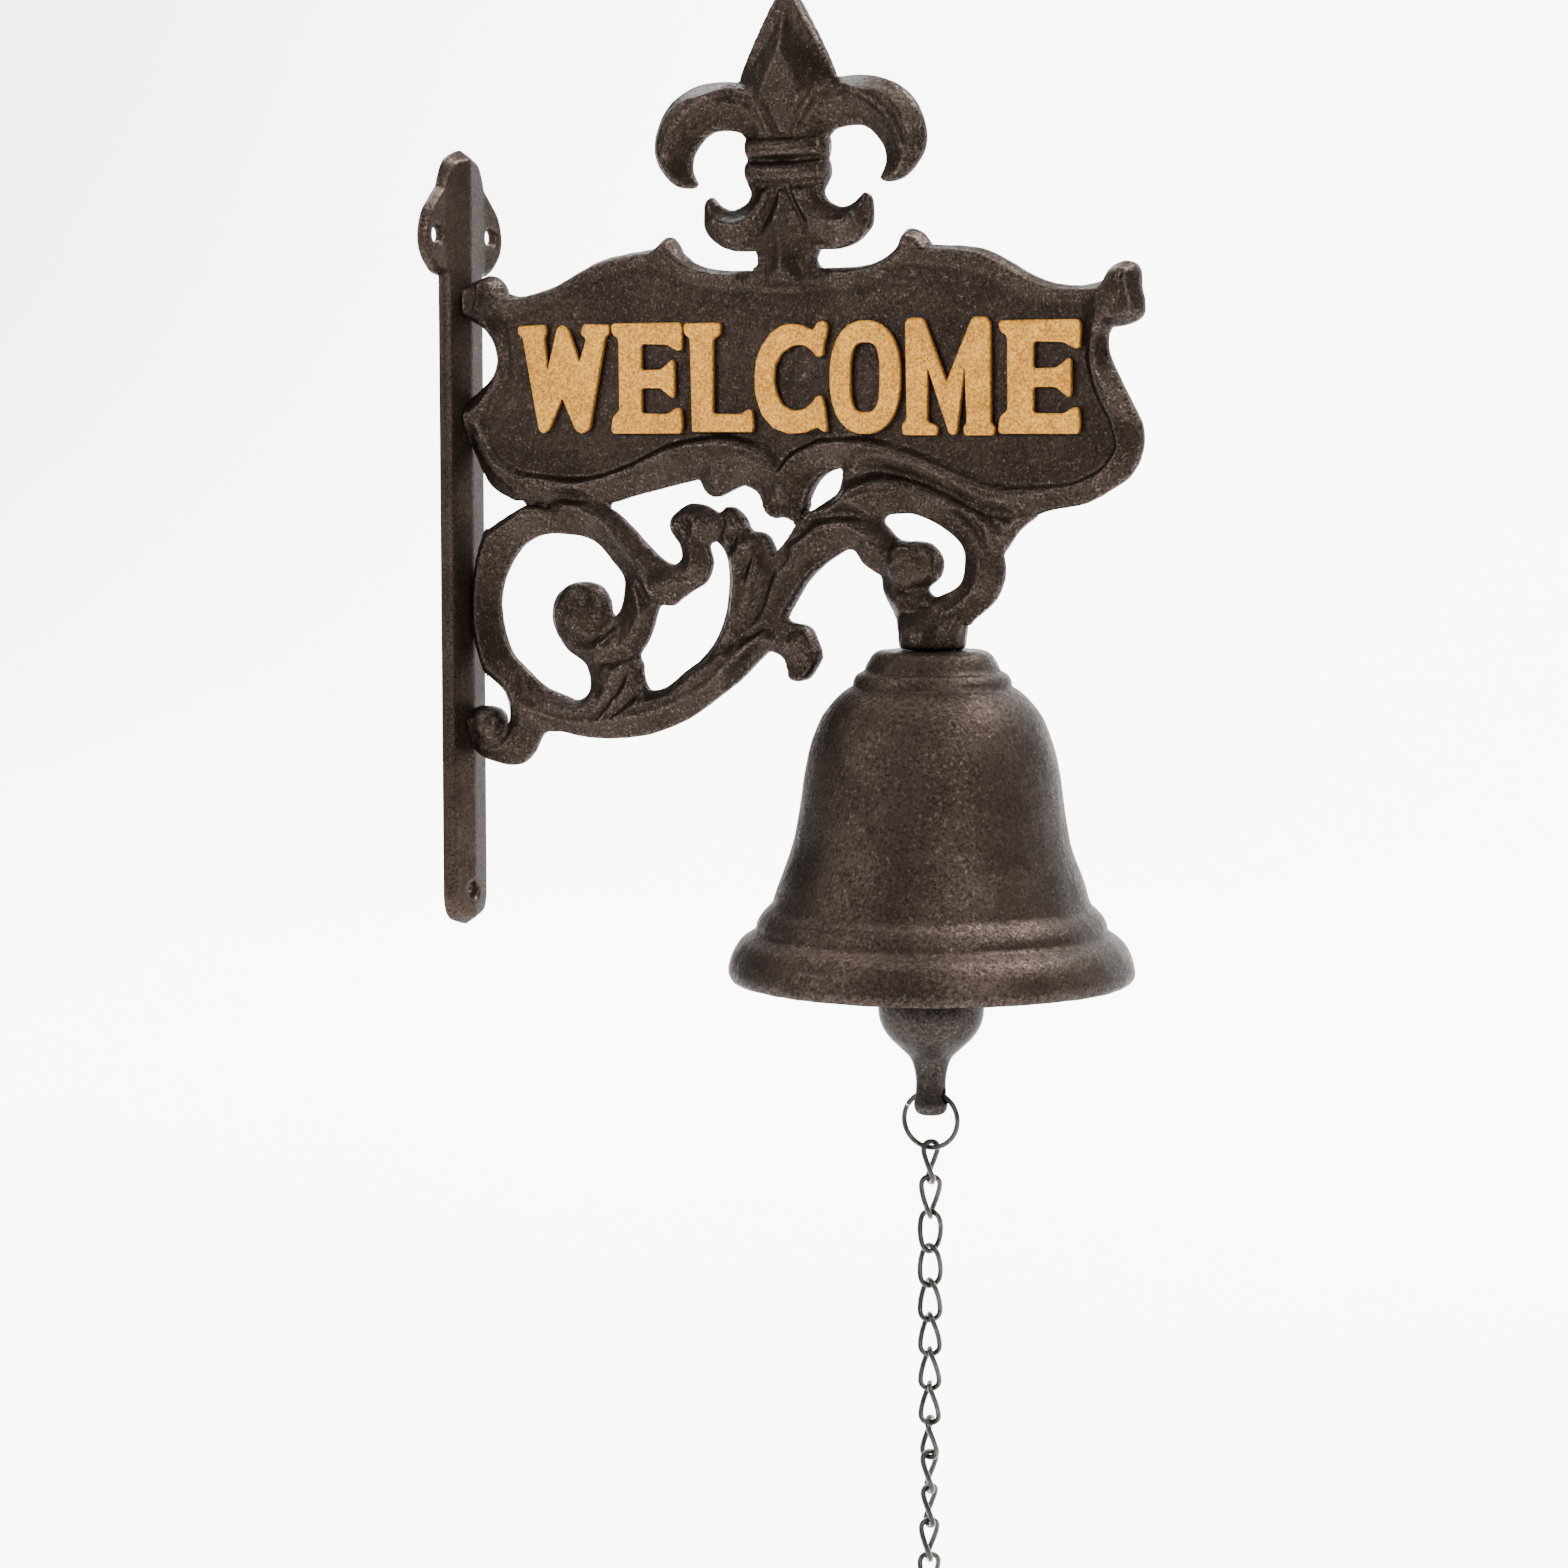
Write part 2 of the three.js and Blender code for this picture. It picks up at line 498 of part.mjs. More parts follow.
function crownWasher() {
  return turned([
    [BOLT_BORE, WASHER_TOP],
    [WASHER_RADIUS, WASHER_TOP],
    [WASHER_RADIUS, WASHER_BOTTOM],
    [BOLT_BORE, WASHER_BOTTOM],
    [BOLT_BORE, WASHER_TOP],
  ], 28);
}

// A hexagon nut: a six-sided prism with a round bore.
function crownNut() {
  const corner = NUT_ACROSS_FLATS / Math.sqrt(3);
  const prism = solidFrom(cylinder(corner, NUT_BOTTOM, NUT_TOP, 6));
  const bore = solidFrom(cylinder(BOLT_BORE, NUT_BOTTOM - 1, NUT_TOP + 1, 20));
  return geometryFrom(prism.subtract(bore));
}

// The shank and the eye below it. The eye's hole runs along local x.
function bellBolt() {
  const shank = solidFrom(cylinder(BOLT_RADIUS, EYE_CENTRE + EYE_RADIUS - 0.6, BOSS_TOP + 0.2, 16));
  const ring = new THREE.TorusGeometry(EYE_RADIUS, EYE_WIRE, 8, 20);
  ring.rotateY(Math.PI / 2);
  ring.translate(0, 0, EYE_CENTRE);
  return geometryFrom(shank.add(solidFrom(ring)));
}

// ---------------------------------------------------------------- hanger link, clapper and ring
// An oval of two straight sides and two half circles, centred on the z axis in the xz plane.
class Oval extends THREE.Curve {
  constructor(halfWidth, top, bottom) {
    super();
    this.halfWidth = halfWidth;
    this.middle = (top + bottom) / 2;
    this.halfSide = (top - bottom) / 2 - halfWidth;
  }

  getPoint(t, target = new THREE.Vector3()) {
    const angle = 2 * Math.PI * t;
    const side = this.halfSide * Math.tanh(6 * Math.sin(angle));
    const z = this.middle + this.halfWidth * Math.sin(angle) + side;
    return target.set(this.halfWidth * Math.cos(angle), 0, z);
  }
}

function hangerLink() {
  const oval = new Oval(HANGER_HALF_WIDTH, HANGER_TOP, HANGER_BOTTOM);
  return new THREE.TubeGeometry(oval, 28, HANGER_WIRE, 6, true);
}

// A cast bob with a stem and an eye above it, and a flat tail with a cross hole below.
function clapper() {
  const bob = turned([
    [0, CLAPPER_EYE - CLAPPER_EYE_RADIUS + 1],
    [2.4, CLAPPER_EYE - CLAPPER_EYE_RADIUS + 0.4],
    [2.8, -68],
    [3, -90],
    [4.2, -97],
    [7.6, -100.4],
    [10.8, -103.8],
    [12.7, -108],
    [BOB_RADIUS, BOB_CENTRE],
    [12.6, -115.8],
    [10.4, -119.4],
    [7.2, -122.6],
    [4.6, -125.4],
    [4, -128.5],
    [3.8, -134],
    [4.2, -136.6],
    [3.4, -138.4],
    [1.6, TAIL_END],
    [0, TAIL_END],
  ], 20);
  const eye = new THREE.TorusGeometry(CLAPPER_EYE_RADIUS, CLAPPER_EYE_WIRE, 8, 20);
  eye.rotateY(Math.PI / 2);
  eye.translate(0, 0, CLAPPER_EYE);
  const bore = new THREE.CylinderGeometry(TAIL_HOLE_RADIUS, TAIL_HOLE_RADIUS, 20, 16);
  bore.rotateZ(Math.PI / 2);
  bore.translate(0, 0, TAIL_HOLE);
  return geometryFrom(solidFrom(bob).add(solidFrom(eye)).subtract(solidFrom(bore)));
}

function tailRing() {
  const ring = new THREE.TorusGeometry(RING_RADIUS, RING_WIRE, 6, 32);
  ring.rotateX(Math.PI / 2);
  ring.translate(0, 0, RING_CENTRE);
  return ring;
}

// ---------------------------------------------------------------- chain
// A wire oval that is twisted a quarter turn from its top end to its bottom end.
class TwistedLink extends THREE.Curve {
  getPoint(t, target = new THREE.Vector3()) {
    const angle = 2 * Math.PI * t;
    const halfSide = LINK_LENGTH / 2 - LINK_HALF_WIDTH;
    const z = LINK_HALF_WIDTH * Math.sin(angle) + halfSide * Math.tanh(4 * Math.sin(angle));
    const twist = (Math.PI / 4) * (1 - (2 * z) / LINK_LENGTH);
    const reach = LINK_HALF_WIDTH * Math.cos(angle);
    return target.set(reach * Math.cos(twist), reach * Math.sin(twist), z);
  }
}

function addChain() {
  LINK_YAWS.forEach((yaw, i) => {
    const wire = new THREE.TubeGeometry(new TwistedLink(), 20, LINK_WIRE, 6, true);
    const link = place("link_" + String(i + 1).padStart(2, "0"), wire, blackSteel);
    link.position.set(BELL_AXIS, 0, LINK_TOP - LINK_LENGTH / 2 - i * LINK_PITCH);
    link.rotation.z = THREE.MathUtils.degToRad(yaw);
  });
}

// ---------------------------------------------------------------- the whole object
place("wall_plate", wallPlate(), iron);
place("sign_panel", signPanel(), iron);
addLetters();
place("finial", finial(), iron);
addScrolls();
place("hook_boss", hookBoss(), iron);

const hung = new THREE.Group();
hung.position.x = BELL_AXIS;
hung.rotation.z = HANG_YAW;
bell.add(hung);

place("bell_shell", bellShell(), iron, hung);
place("crown_washer", crownWasher(), plainSteel, hung);
place("crown_nut", crownNut(), plainSteel, hung);
place("bell_bolt", bellBolt(), plainSteel, hung);
place("hanger_link", hangerLink(), blackSteel, hung);
place("clapper", clapper(), iron, hung);
place("tail_ring", tailRing(), blackSteel, hung);
addChain();

export default bell;
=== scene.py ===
"""A cast-iron bell on a scrolled wall bracket: the fine surfaces and materials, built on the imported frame.

Everything is in metres in the frame's own axes: +X out from the wall, +Z up, the sign in the XZ plane.
Lengths that read better in millimetres are multiplied by MM.
"""
import math

import bmesh
import bpy
import numpy as np
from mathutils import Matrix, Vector, noise


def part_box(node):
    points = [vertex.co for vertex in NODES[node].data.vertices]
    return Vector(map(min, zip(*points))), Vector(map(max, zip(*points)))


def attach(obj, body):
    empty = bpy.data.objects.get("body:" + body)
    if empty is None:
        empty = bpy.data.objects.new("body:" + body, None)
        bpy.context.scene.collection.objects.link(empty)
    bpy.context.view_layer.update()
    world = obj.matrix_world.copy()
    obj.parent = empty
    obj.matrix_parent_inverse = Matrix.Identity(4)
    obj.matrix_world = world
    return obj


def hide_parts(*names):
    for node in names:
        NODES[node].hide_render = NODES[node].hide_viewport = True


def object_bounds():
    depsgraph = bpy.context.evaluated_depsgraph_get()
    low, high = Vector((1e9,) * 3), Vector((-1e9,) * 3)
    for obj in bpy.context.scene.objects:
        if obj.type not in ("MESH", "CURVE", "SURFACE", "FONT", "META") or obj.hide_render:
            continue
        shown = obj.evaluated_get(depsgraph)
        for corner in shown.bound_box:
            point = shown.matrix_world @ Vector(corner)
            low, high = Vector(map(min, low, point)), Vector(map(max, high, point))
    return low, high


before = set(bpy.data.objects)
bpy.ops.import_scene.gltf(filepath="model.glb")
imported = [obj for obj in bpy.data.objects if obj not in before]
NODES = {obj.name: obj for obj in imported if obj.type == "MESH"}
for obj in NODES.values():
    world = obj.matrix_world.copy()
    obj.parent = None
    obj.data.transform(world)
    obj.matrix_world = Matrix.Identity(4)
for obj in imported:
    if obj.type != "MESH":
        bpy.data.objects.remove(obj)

MM = 0.001
CAD_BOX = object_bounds()


def add_object(name, data):
    made = bpy.data.objects.new(name, data)
    bpy.context.scene.collection.objects.link(made)
    return made


# ---------------------------------------------------------------- camera
def add_camera():
    """Looks along the bracket from the wall's left, 31 degrees off square, and slightly down."""
    azimuth = math.radians(31)
    pitch = math.radians(5.41)
    distance = 950 * MM
    aim = Vector((99.1, 0, -59.3)) * MM
    forward = Vector((-math.sin(azimuth) * math.cos(pitch),
                      math.cos(azimuth) * math.cos(pitch),
                      -math.sin(pitch)))
    data = bpy.data.cameras.new("camera")
    data.lens = 87.2
    data.sensor_width = 36
    data.clip_start = 0.05
    data.clip_end = 50
    camera = add_object("camera", data)
    camera.location = aim - forward * distance
    camera.rotation_euler = forward.to_track_quat("-Z", "Y").to_euler()
    bpy.context.scene.camera = camera


# ---------------------------------------------------------------- node materials
class Graph:
    """A short way to write a material's node tree."""

    def __init__(self, name):
        self.material = bpy.data.materials.new(name)
        self.material.use_nodes = True
        self.tree = self.material.node_tree
        self.tree.nodes.clear()
        self.shader = self.add("ShaderNodeBsdfPrincipled")
        output = self.add("ShaderNodeOutputMaterial")
        self.link(self.shader.outputs["BSDF"], output.inputs["Surface"])
        self.place = self.add("ShaderNodeTexCoord").outputs["Object"]

    def add(self, kind, **values):
        node = self.tree.nodes.new(kind)
        for key, value in values.items():
            setattr(node, key, value)
        return node

    def link(self, source, target):
        self.tree.links.new(source, target)

    def noise(self, size, detail, rough):
        """Noise whose features are about size metres across."""
        node = self.add("ShaderNodeTexNoise")
        self.link(self.place, node.inputs["Vector"])
        node.inputs["Scale"].default_value = 1 / size
        node.inputs["Detail"].default_value = detail
        node.inputs["Roughness"].default_value = rough
        return node.outputs["Fac"]

    def attribute(self, name):
        return self.add("ShaderNodeAttribute", attribute_name=name).outputs["Fac"]

    def ramp(self, value, *stops):
        """Maps a value through (position, grey or colour) stops."""
        node = self.add("ShaderNodeValToRGB")
        self.link(value, node.inputs["Fac"])
        elements = node.color_ramp.elements
        while len(elements) < len(stops):
            elements.new(0.5)
        for element, (position, colour) in zip(elements, stops):
            element.position = position
            grey = isinstance(colour, (int, float))
            element.color = (colour, colour, colour, 1) if grey else (*colour, 1)
        return node.outputs["Color"]

    def product(self, a, b):
        node = self.add("ShaderNodeMath", operation="MULTIPLY")
        self.link(a, node.inputs[0])
        self.link(b, node.inputs[1])
        return node.outputs["Value"]

    def mix(self, amount, a, b):
        """Blends from a to b, each a colour or a socket."""
        node = self.add("ShaderNodeMix", data_type="RGBA")
        self.link(amount, node.inputs[0])
        for socket, value in ((node.inputs[6], a), (node.inputs[7], b)):
            if isinstance(value, tuple):
                socket.default_value = (*value, 1)
            else:
                self.link(value, socket)
        return node.outputs[2]

    def bump(self, height, depth, strength=1.0, under=None):
        node = self.add("ShaderNodeBump")
        node.inputs["Strength"].default_value = strength
        node.inputs["Distance"].default_value = depth
        self.link(height, node.inputs["Height"])
        if under is not None:
            self.link(under, node.inputs["Normal"])
        return node.outputs["Normal"]

    def finish(self, colour, roughness, normal, metallic, **constants):
        self.link(colour, self.shader.inputs["Base Color"])
        self.link(roughness, self.shader.inputs["Roughness"])
        self.link(normal, self.shader.inputs["Normal"])
        self.shader.inputs["Metallic"].default_value = metallic
        for name, value in constants.items():
            self.shader.inputs[name.replace("_", " ")].default_value = value
        return self.material


# What metal reflects at a glancing angle: dark, so that outlines stay dark against a white room.
EDGE_TINT = (0.24, 0.19, 0.165, 1)


# Each iron's darkest and lightest brown, the pale colour of its flecks and proud edges (partly painted
# glints), the size and depth of its grain in mm, and roughness.
IRONS = {
    "bell_iron": ((0.011, 0.0078, 0.006), (0.0195, 0.0139, 0.0112), (0.05, 0.038, 0.033), 0.85, 0.24, 0.42),
    "bracket_iron": ((0.008, 0.0056, 0.0041), (0.0155, 0.011, 0.0084), (0.062, 0.047, 0.042),
                     0.65, 0.16, 0.35),
    "plate_iron": ((0.0125, 0.0085, 0.0065), (0.022, 0.0152, 0.0122), (0.05, 0.038, 0.033), 0.7, 0.06, 0.4),
    "clapper_iron": ((0.009, 0.0072, 0.0066), (0.017, 0.0137, 0.0126), (0.05, 0.042, 0.038),
                     0.8, 0.06, 0.38),
}


def cast_iron(name):
    """Coated cast iron: mottled brown, coarse sand grain with pale flecks that are partly painted glints,
    and proud edges painted pale, partly for worn metal and partly as a painted highlight.
    """
    dark, light, glint, grain, grain_depth, roughness = IRONS[name]
    grain *= MM
    grain_depth *= MM
    graph = Graph(name)
    mottle = graph.noise(14 * MM, 4, 0.6)
    speckle = graph.noise(grain, 2, 0.8)
    coarse = graph.noise(2.6 * grain, 2, 0.6)
    base = graph.mix(graph.ramp(mottle, (0.36, 0.0), (0.66, 1.0)), dark, light)
    pits = graph.mix(graph.ramp(speckle, (0.34, 0.75), (0.47, 0.0)), base, tuple(0.3 * c for c in dark))
    gathered = graph.ramp(coarse, (0.42, 0.1), (0.6, 0.8))
    # Pale flecks in the colour: partly speckled grain, partly painted glints that stand in for highlights on
    # the grain.
    grit_and_glints = graph.product(graph.ramp(speckle, (0.54, 0.0), (0.72, 1.0)), gathered)
    flecked = graph.mix(grit_and_glints, pits, glint)
    # Proud edges turn pale: partly worn metal, partly a painted highlight along the ridges.
    edge = graph.product(graph.attribute("wear_and_glint"), graph.ramp(speckle, (0.42, 0.0), (0.62, 0.5)))
    colour = graph.mix(edge, flecked, glint)
    rough = graph.ramp(speckle, (0.3, roughness + 0.16), (0.5, roughness), (0.7, roughness - 0.14))
    skin = graph.bump(speckle, grain_depth)
    lumps = graph.bump(graph.noise(5.5 * grain, 2, 0.5), 1.8 * grain_depth, 0.7, skin)
    return graph.finish(colour, rough, lumps, 0.75, Specular_IOR_Level=0.3, Specular_Tint=EDGE_TINT)


def gold_paint():
    """Antique-gold paint, granular on the raised letters and browner where it thins at their edges."""
    graph = Graph("gold_paint")
    speckle = graph.noise(0.62 * MM, 2, 0.75)
    patches = graph.noise(6 * MM, 3, 0.6)
    spread = graph.ramp(patches, (0.35, 0.0), (0.68, 1.0))
    base = graph.mix(spread, (0.24, 0.1, 0.007), (0.32, 0.143, 0.012))
    flecked = graph.mix(graph.ramp(speckle, (0.36, 0.8), (0.5, 0.0)), base, (0.11, 0.042, 0.005))
    bright = graph.mix(graph.ramp(speckle, (0.53, 0.0), (0.7, 0.75)), flecked, (0.48, 0.245, 0.034))
    colour = graph.mix(graph.attribute("side"), bright, (0.08, 0.033, 0.009))
    rough = graph.ramp(speckle, (0.3, 0.62), (0.7, 0.38))
    skin = graph.bump(speckle, 0.26 * MM)
    return graph.finish(colour, rough, skin, 0.45, Specular_IOR_Level=0.2)


def wire_steel():
    """Blackened wire with pale patches in places, partly rubbed metal and partly painted glints."""
    graph = Graph("wire_steel")
    rubbed_and_glinting = graph.noise(1.3 * MM, 3, 0.7)
    film = graph.noise(9 * MM, 2, 0.5)
    spread = graph.ramp(film, (0.35, 0.0), (0.65, 1.0))
    base = graph.mix(spread, (0.01, 0.0088, 0.008), (0.022, 0.0192, 0.017))
    # Pale patches: partly rubbed metal, partly painted glints.
    colour = graph.mix(graph.ramp(rubbed_and_glinting, (0.58, 0.0), (0.7, 0.5)), base, (0.085, 0.078, 0.07))
    rough = graph.ramp(rubbed_and_glinting, (0.35, 0.42), (0.65, 0.26))
    skin = graph.bump(graph.noise(0.4 * MM, 2, 0.6), 0.04 * MM)
    return graph.finish(colour, rough, skin, 0.8)


def plated_steel():
    """Dulled zinc plating with fine turning marks."""
    graph = Graph("plated_steel")
    stain = graph.noise(4 * MM, 4, 0.65)
    marks = graph.noise(0.25 * MM, 2, 0.5)
    colour = graph.ramp(stain, (0.32, (0.2, 0.19, 0.18)), (0.6, (0.43, 0.42, 0.4)))
    rough = graph.ramp(marks, (0.3, 0.48), (0.7, 0.3))
    skin = graph.bump(marks, 0.01 * MM)
    return graph.finish(colour, rough, skin, 0.9)


def floor_paint():
    """A matt, very pale floor."""
    graph = Graph("floor_paint")
    cloud = graph.noise(0.7, 2, 0.5)
    colour = graph.ramp(cloud, (0.3, (0.9, 0.9, 0.9)), (0.7, (0.93, 0.93, 0.93)))
    rough = graph.ramp(cloud, (0.3, 0.95), (0.7, 0.85))
    skin = graph.bump(cloud, 0.1 * MM)
    return graph.finish(colour, rough, skin, 0.0)


# ---------------------------------------------------------------- meshes
def mesh_of(name, vertices, faces, material, smooth_angle=40):
    """A new object from arrays of points and faces, with its faces turned outwards."""
    mesh = bpy.data.meshes.new(name)
    mesh.from_pydata([tuple(v) for v in vertices], [], [tuple(int(i) for i in f) for f in faces])
    mesh.validate()
    soften(mesh, smooth_angle)
    mark_wear_and_glint(mesh)
    mesh.materials.append(material)
    return add_object(name, mesh)


def soften(mesh, smooth_angle):
    """Smooth shading, with sharp edges where faces meet at more than smooth_angle degrees."""
    work = bmesh.new()
    work.from_mesh(mesh)
    bmesh.ops.recalc_face_normals(work, faces=work.faces)
    limit = math.radians(smooth_angle)
    for edge in work.edges:
        edge.smooth = len(edge.link_faces) == 2 and edge.calc_face_angle(0) < limit
    for face in work.faces:
        face.smooth = True
    work.to_mesh(mesh)
    work.free()


def mark_wear_and_glint(mesh, reach=0.14):
    """Stores how far each point stands proud of its neighbours, from 0 to 1, as a point attribute, which
    makes cast iron pale there: partly worn metal, partly a painted highlight along ridges.
    """
    count = len(mesh.vertices)
    points = np.empty(count * 3)
    mesh.vertices.foreach_get("co", points)
    points = points.reshape(-1, 3)
    normals = np.empty(count * 3)
    mesh.vertices.foreach_get("normal", normals)
    normals = normals.reshape(-1, 3)
    edges = np.empty(len(mesh.edges) * 2, int)
    mesh.edges.foreach_get("vertices", edges)
    start, end = edges.reshape(-1, 2).T
    span = points[end] - points[start]
    length = np.linalg.norm(span, axis=1) + 1e-9
    proud = np.zeros(count)
    number = np.zeros(count)
    for near, sign in ((start, -1), (end, 1)):
        np.add.at(proud, near, sign * np.einsum("ij,ij->i", span, normals[near]) / length)
        np.add.at(number, near, 1)
    proud /= np.maximum(number, 1)
    for _ in range(2):
        shared = np.zeros(count)
        np.add.at(shared, start, proud[end])
        np.add.at(shared, end, proud[start])
        proud = 0.5 * proud + 0.5 * shared / np.maximum(number, 1)
    wear_and_glint = mesh.attributes.new("wear_and_glint", "FLOAT", "POINT")
    wear_and_glint.data.foreach_set("value", np.clip(proud / reach, 0, 1).astype(np.float32))


def settle(piece, body, slot, *nodes):
    """The piece rides on a body and stands for CAD nodes, which are hidden. The slot is not used."""
    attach(piece, body)
    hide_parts(*nodes)
    return piece


def turned(profile, centre, segments, closed=False):
    """Points and faces of a profile of [radius, z] turned about the vertical line through centre."""
    profile = np.asarray(profile, float)
    turns = np.linspace(0, 2 * math.pi, segments, endpoint=False)
    points = []
    rings = []
    for radius, z in profile:
        if radius < 1e-7:
            rings.append([len(points)] * segments)
            points.append((centre[0], centre[1], z))
            continue
        rings.append(list(range(len(points), len(points) + segments)))
        for turn in turns:
            points.append((centre[0] + radius * math.cos(turn), centre[1] + radius * math.sin(turn), z))
    faces = []
    pairs = list(zip(rings, rings[1:]))
    if closed:
        pairs.append((rings[-1], rings[0]))
    for upper, lower in pairs:
        for i in range(segments):
            j = (i + 1) % segments
            corners = [upper[i], upper[j], lower[j], lower[i]]
            face = list(dict.fromkeys(corners))
            if len(face) > 2:
                faces.append(face)
    return points, faces


def tube_faces(count, sides, closed):
    """Faces of a skin over count rings of points. An open one has a flat cap at each end."""
    faces = []
    for i in range(count if closed else count - 1):
        here = i * sides
        there = (i + 1) % count * sides
        for j in range(sides):
            k = (j + 1) % sides
            faces.append((here + j, here + k, there + k, there + j))
    if not closed:
        faces.append(list(range(sides)))
        faces.append(list(range((count - 1) * sides, count * sides)))
    return faces


def swept(path, radius, sides, closed=True):
    """Points and faces of round wire that follows a path, in rings that don't twist."""
    path = np.asarray(path, float)
    count = len(path)
    ahead = np.roll(path, -1, axis=0)
    behind = np.roll(path, 1, axis=0)
    tangents = ahead - behind
    if not closed:
        tangents[0] = path[1] - path[0]
        tangents[-1] = path[-1] - path[-2]
    tangents /= np.linalg.norm(tangents, axis=1)[:, None]
    side = np.cross(tangents[0], (0.31, 0.53, 0.79))
    sides_at = []
    for tangent in tangents:
        side = side - tangent * side.dot(tangent)
        side /= np.linalg.norm(side)
        sides_at.append(side.copy())
    if closed:
        last = sides_at[-1] - tangents[0] * sides_at[-1].dot(tangents[0])
        last /= np.linalg.norm(last)
        turn = math.atan2(np.cross(sides_at[0], last).dot(tangents[0]), sides_at[0].dot(last))
    else:
        turn = 0.0
    points = []
    for i, (centre, tangent, side) in enumerate(zip(path, tangents, sides_at)):
        other = np.cross(tangent, side)
        for j in range(sides):
            angle = 2 * math.pi * j / sides - turn * i / count
            points.append(centre + radius * (math.cos(angle) * side + math.sin(angle) * other))
    return points, tube_faces(count, sides, closed)


def upright(centre, across, z, yaw):
    """Points of a flat path that stands upright through centre and faces across yaw."""
    return np.stack([centre[0] + across * np.cos(yaw), centre[1] + across * np.sin(yaw), z], axis=1)


def arc(radius, start, turn, count, endpoint=True):
    """Points of an arc, as distances across and up from its centre. Its angles are in degrees."""
    turns = np.radians(np.linspace(start, start + turn, count, endpoint=endpoint))
    return radius * np.cos(turns), radius * np.sin(turns)


def evaluated(thing):
    """A new mesh of an object with its bevel or its modifiers worked out."""
    bpy.context.view_layer.update()
    return bpy.data.meshes.new_from_object(thing.evaluated_get(bpy.context.evaluated_depsgraph_get()))


def roughen(piece, amount, size, seed):
    """Moves each point along its normal by smooth noise, for the unevenness of a sand casting."""
    shift = Vector((seed, 2 * seed, 3 * seed))
    moves = []
    for vertex in piece.data.vertices:
        moves.append(vertex.normal * amount * noise.noise(vertex.co / size + shift))
    for vertex, move in zip(piece.data.vertices, moves):
        vertex.co += move


# ---------------------------------------------------------------- outlines of the CAD nodes
def merged(node):
    """A CAD node's points with doubles joined, and its triangles."""
    mesh = NODES[node].data
    mesh.calc_loop_triangles()
    points = np.array([v.co for v in mesh.vertices], float)
    keys = np.round(points / (2e-3 * MM)).astype(int)
    _, first, back = np.unique(keys, axis=0, return_index=True, return_inverse=True)
    triangles = back.reshape(-1)[np.array([t.vertices for t in mesh.loop_triangles])]
    return points[first], triangles


def chains(edges):
    """Joins edges, as pairs of point numbers, into closed loops."""
    ahead = {}
    for a, b in edges:
        ahead.setdefault(a, []).append(b)
    loops = []
    while ahead:
        start = next(iter(ahead))
        loop = [start]
        here = start
        while here in ahead:
            there = ahead[here].pop()
            if not ahead[here]:
                del ahead[here]
            here = there
            if here == start:
                break
            loop.append(here)
        loops.append(loop)
    return loops


def cap_loops(node, axis, at):
    """The outlines of a node's flat cap, where the coordinate axis has the value at, as 3-D points."""
    points, triangles = merged(node)
    flat = triangles[(np.abs(points[triangles][:, :, axis] - at) < 0.01 * MM).all(axis=1)]
    directed = set()
    for a, b, c in flat.tolist():
        directed.update(((a, b), (b, c), (c, a)))
    border = sorted((a, b) for a, b in directed if (b, a) not in directed)
    return [points[loop] for loop in chains(border)]


def smoothed(loop, spacing, corner=38):
    """A closed loop of 2-D points drawn again as a curve through them, keeping its sharp corners."""
    loop = np.asarray(loop, float)
    count = len(loop)
    into = loop - np.roll(loop, 1, axis=0)
    out = np.roll(into, -1, axis=0)
    turn = np.abs(np.arctan2(into[:, 0] * out[:, 1] - into[:, 1] * out[:, 0], (into * out).sum(axis=1)))
    sharp = np.degrees(turn) > corner
    points = []
    for i in range(count):
        a = loop[i]
        b = loop[(i + 1) % count]
        before = 2 * a - b if sharp[i] else loop[i - 1]
        after = 2 * b - a if sharp[(i + 1) % count] else loop[(i + 2) % count]
        length = np.linalg.norm(b - a)
        steps = max(1, int(round(length / spacing)))
        lead = (b - before) / 2
        trail = (after - a) / 2
        lead *= min(1, length / (np.linalg.norm(lead) + 1e-12))
        trail *= min(1, length / (np.linalg.norm(trail) + 1e-12))
        for step in range(steps):
            t = step / steps
            points.append((2 * t**3 - 3 * t**2 + 1) * a + (t**3 - 2 * t**2 + t) * lead
                          + (3 * t**2 - 2 * t**3) * b + (t**3 - t**2) * trail)
    return np.array(points)


def curve_through(points, spacing=0.8):
    """An open smooth curve through given points, in millimetres."""
    points = np.asarray(points, float)
    padded = np.vstack([2 * points[0] - points[1], points, 2 * points[-1] - points[-2]])
    drawn = []
    for a, b, c, d in zip(padded, padded[1:], padded[2:], padded[3:]):
        steps = max(2, int(np.linalg.norm(c - b) / spacing))
        for t in np.linspace(0, 1, steps, endpoint=False):
            drawn.append(0.5 * (2 * b + (c - a) * t + (2 * a - 5 * b + 4 * c - d) * t**2
                                + (3 * b - a - 3 * c + d) * t**3))
    drawn.append(points[-1])
    return np.array(drawn)


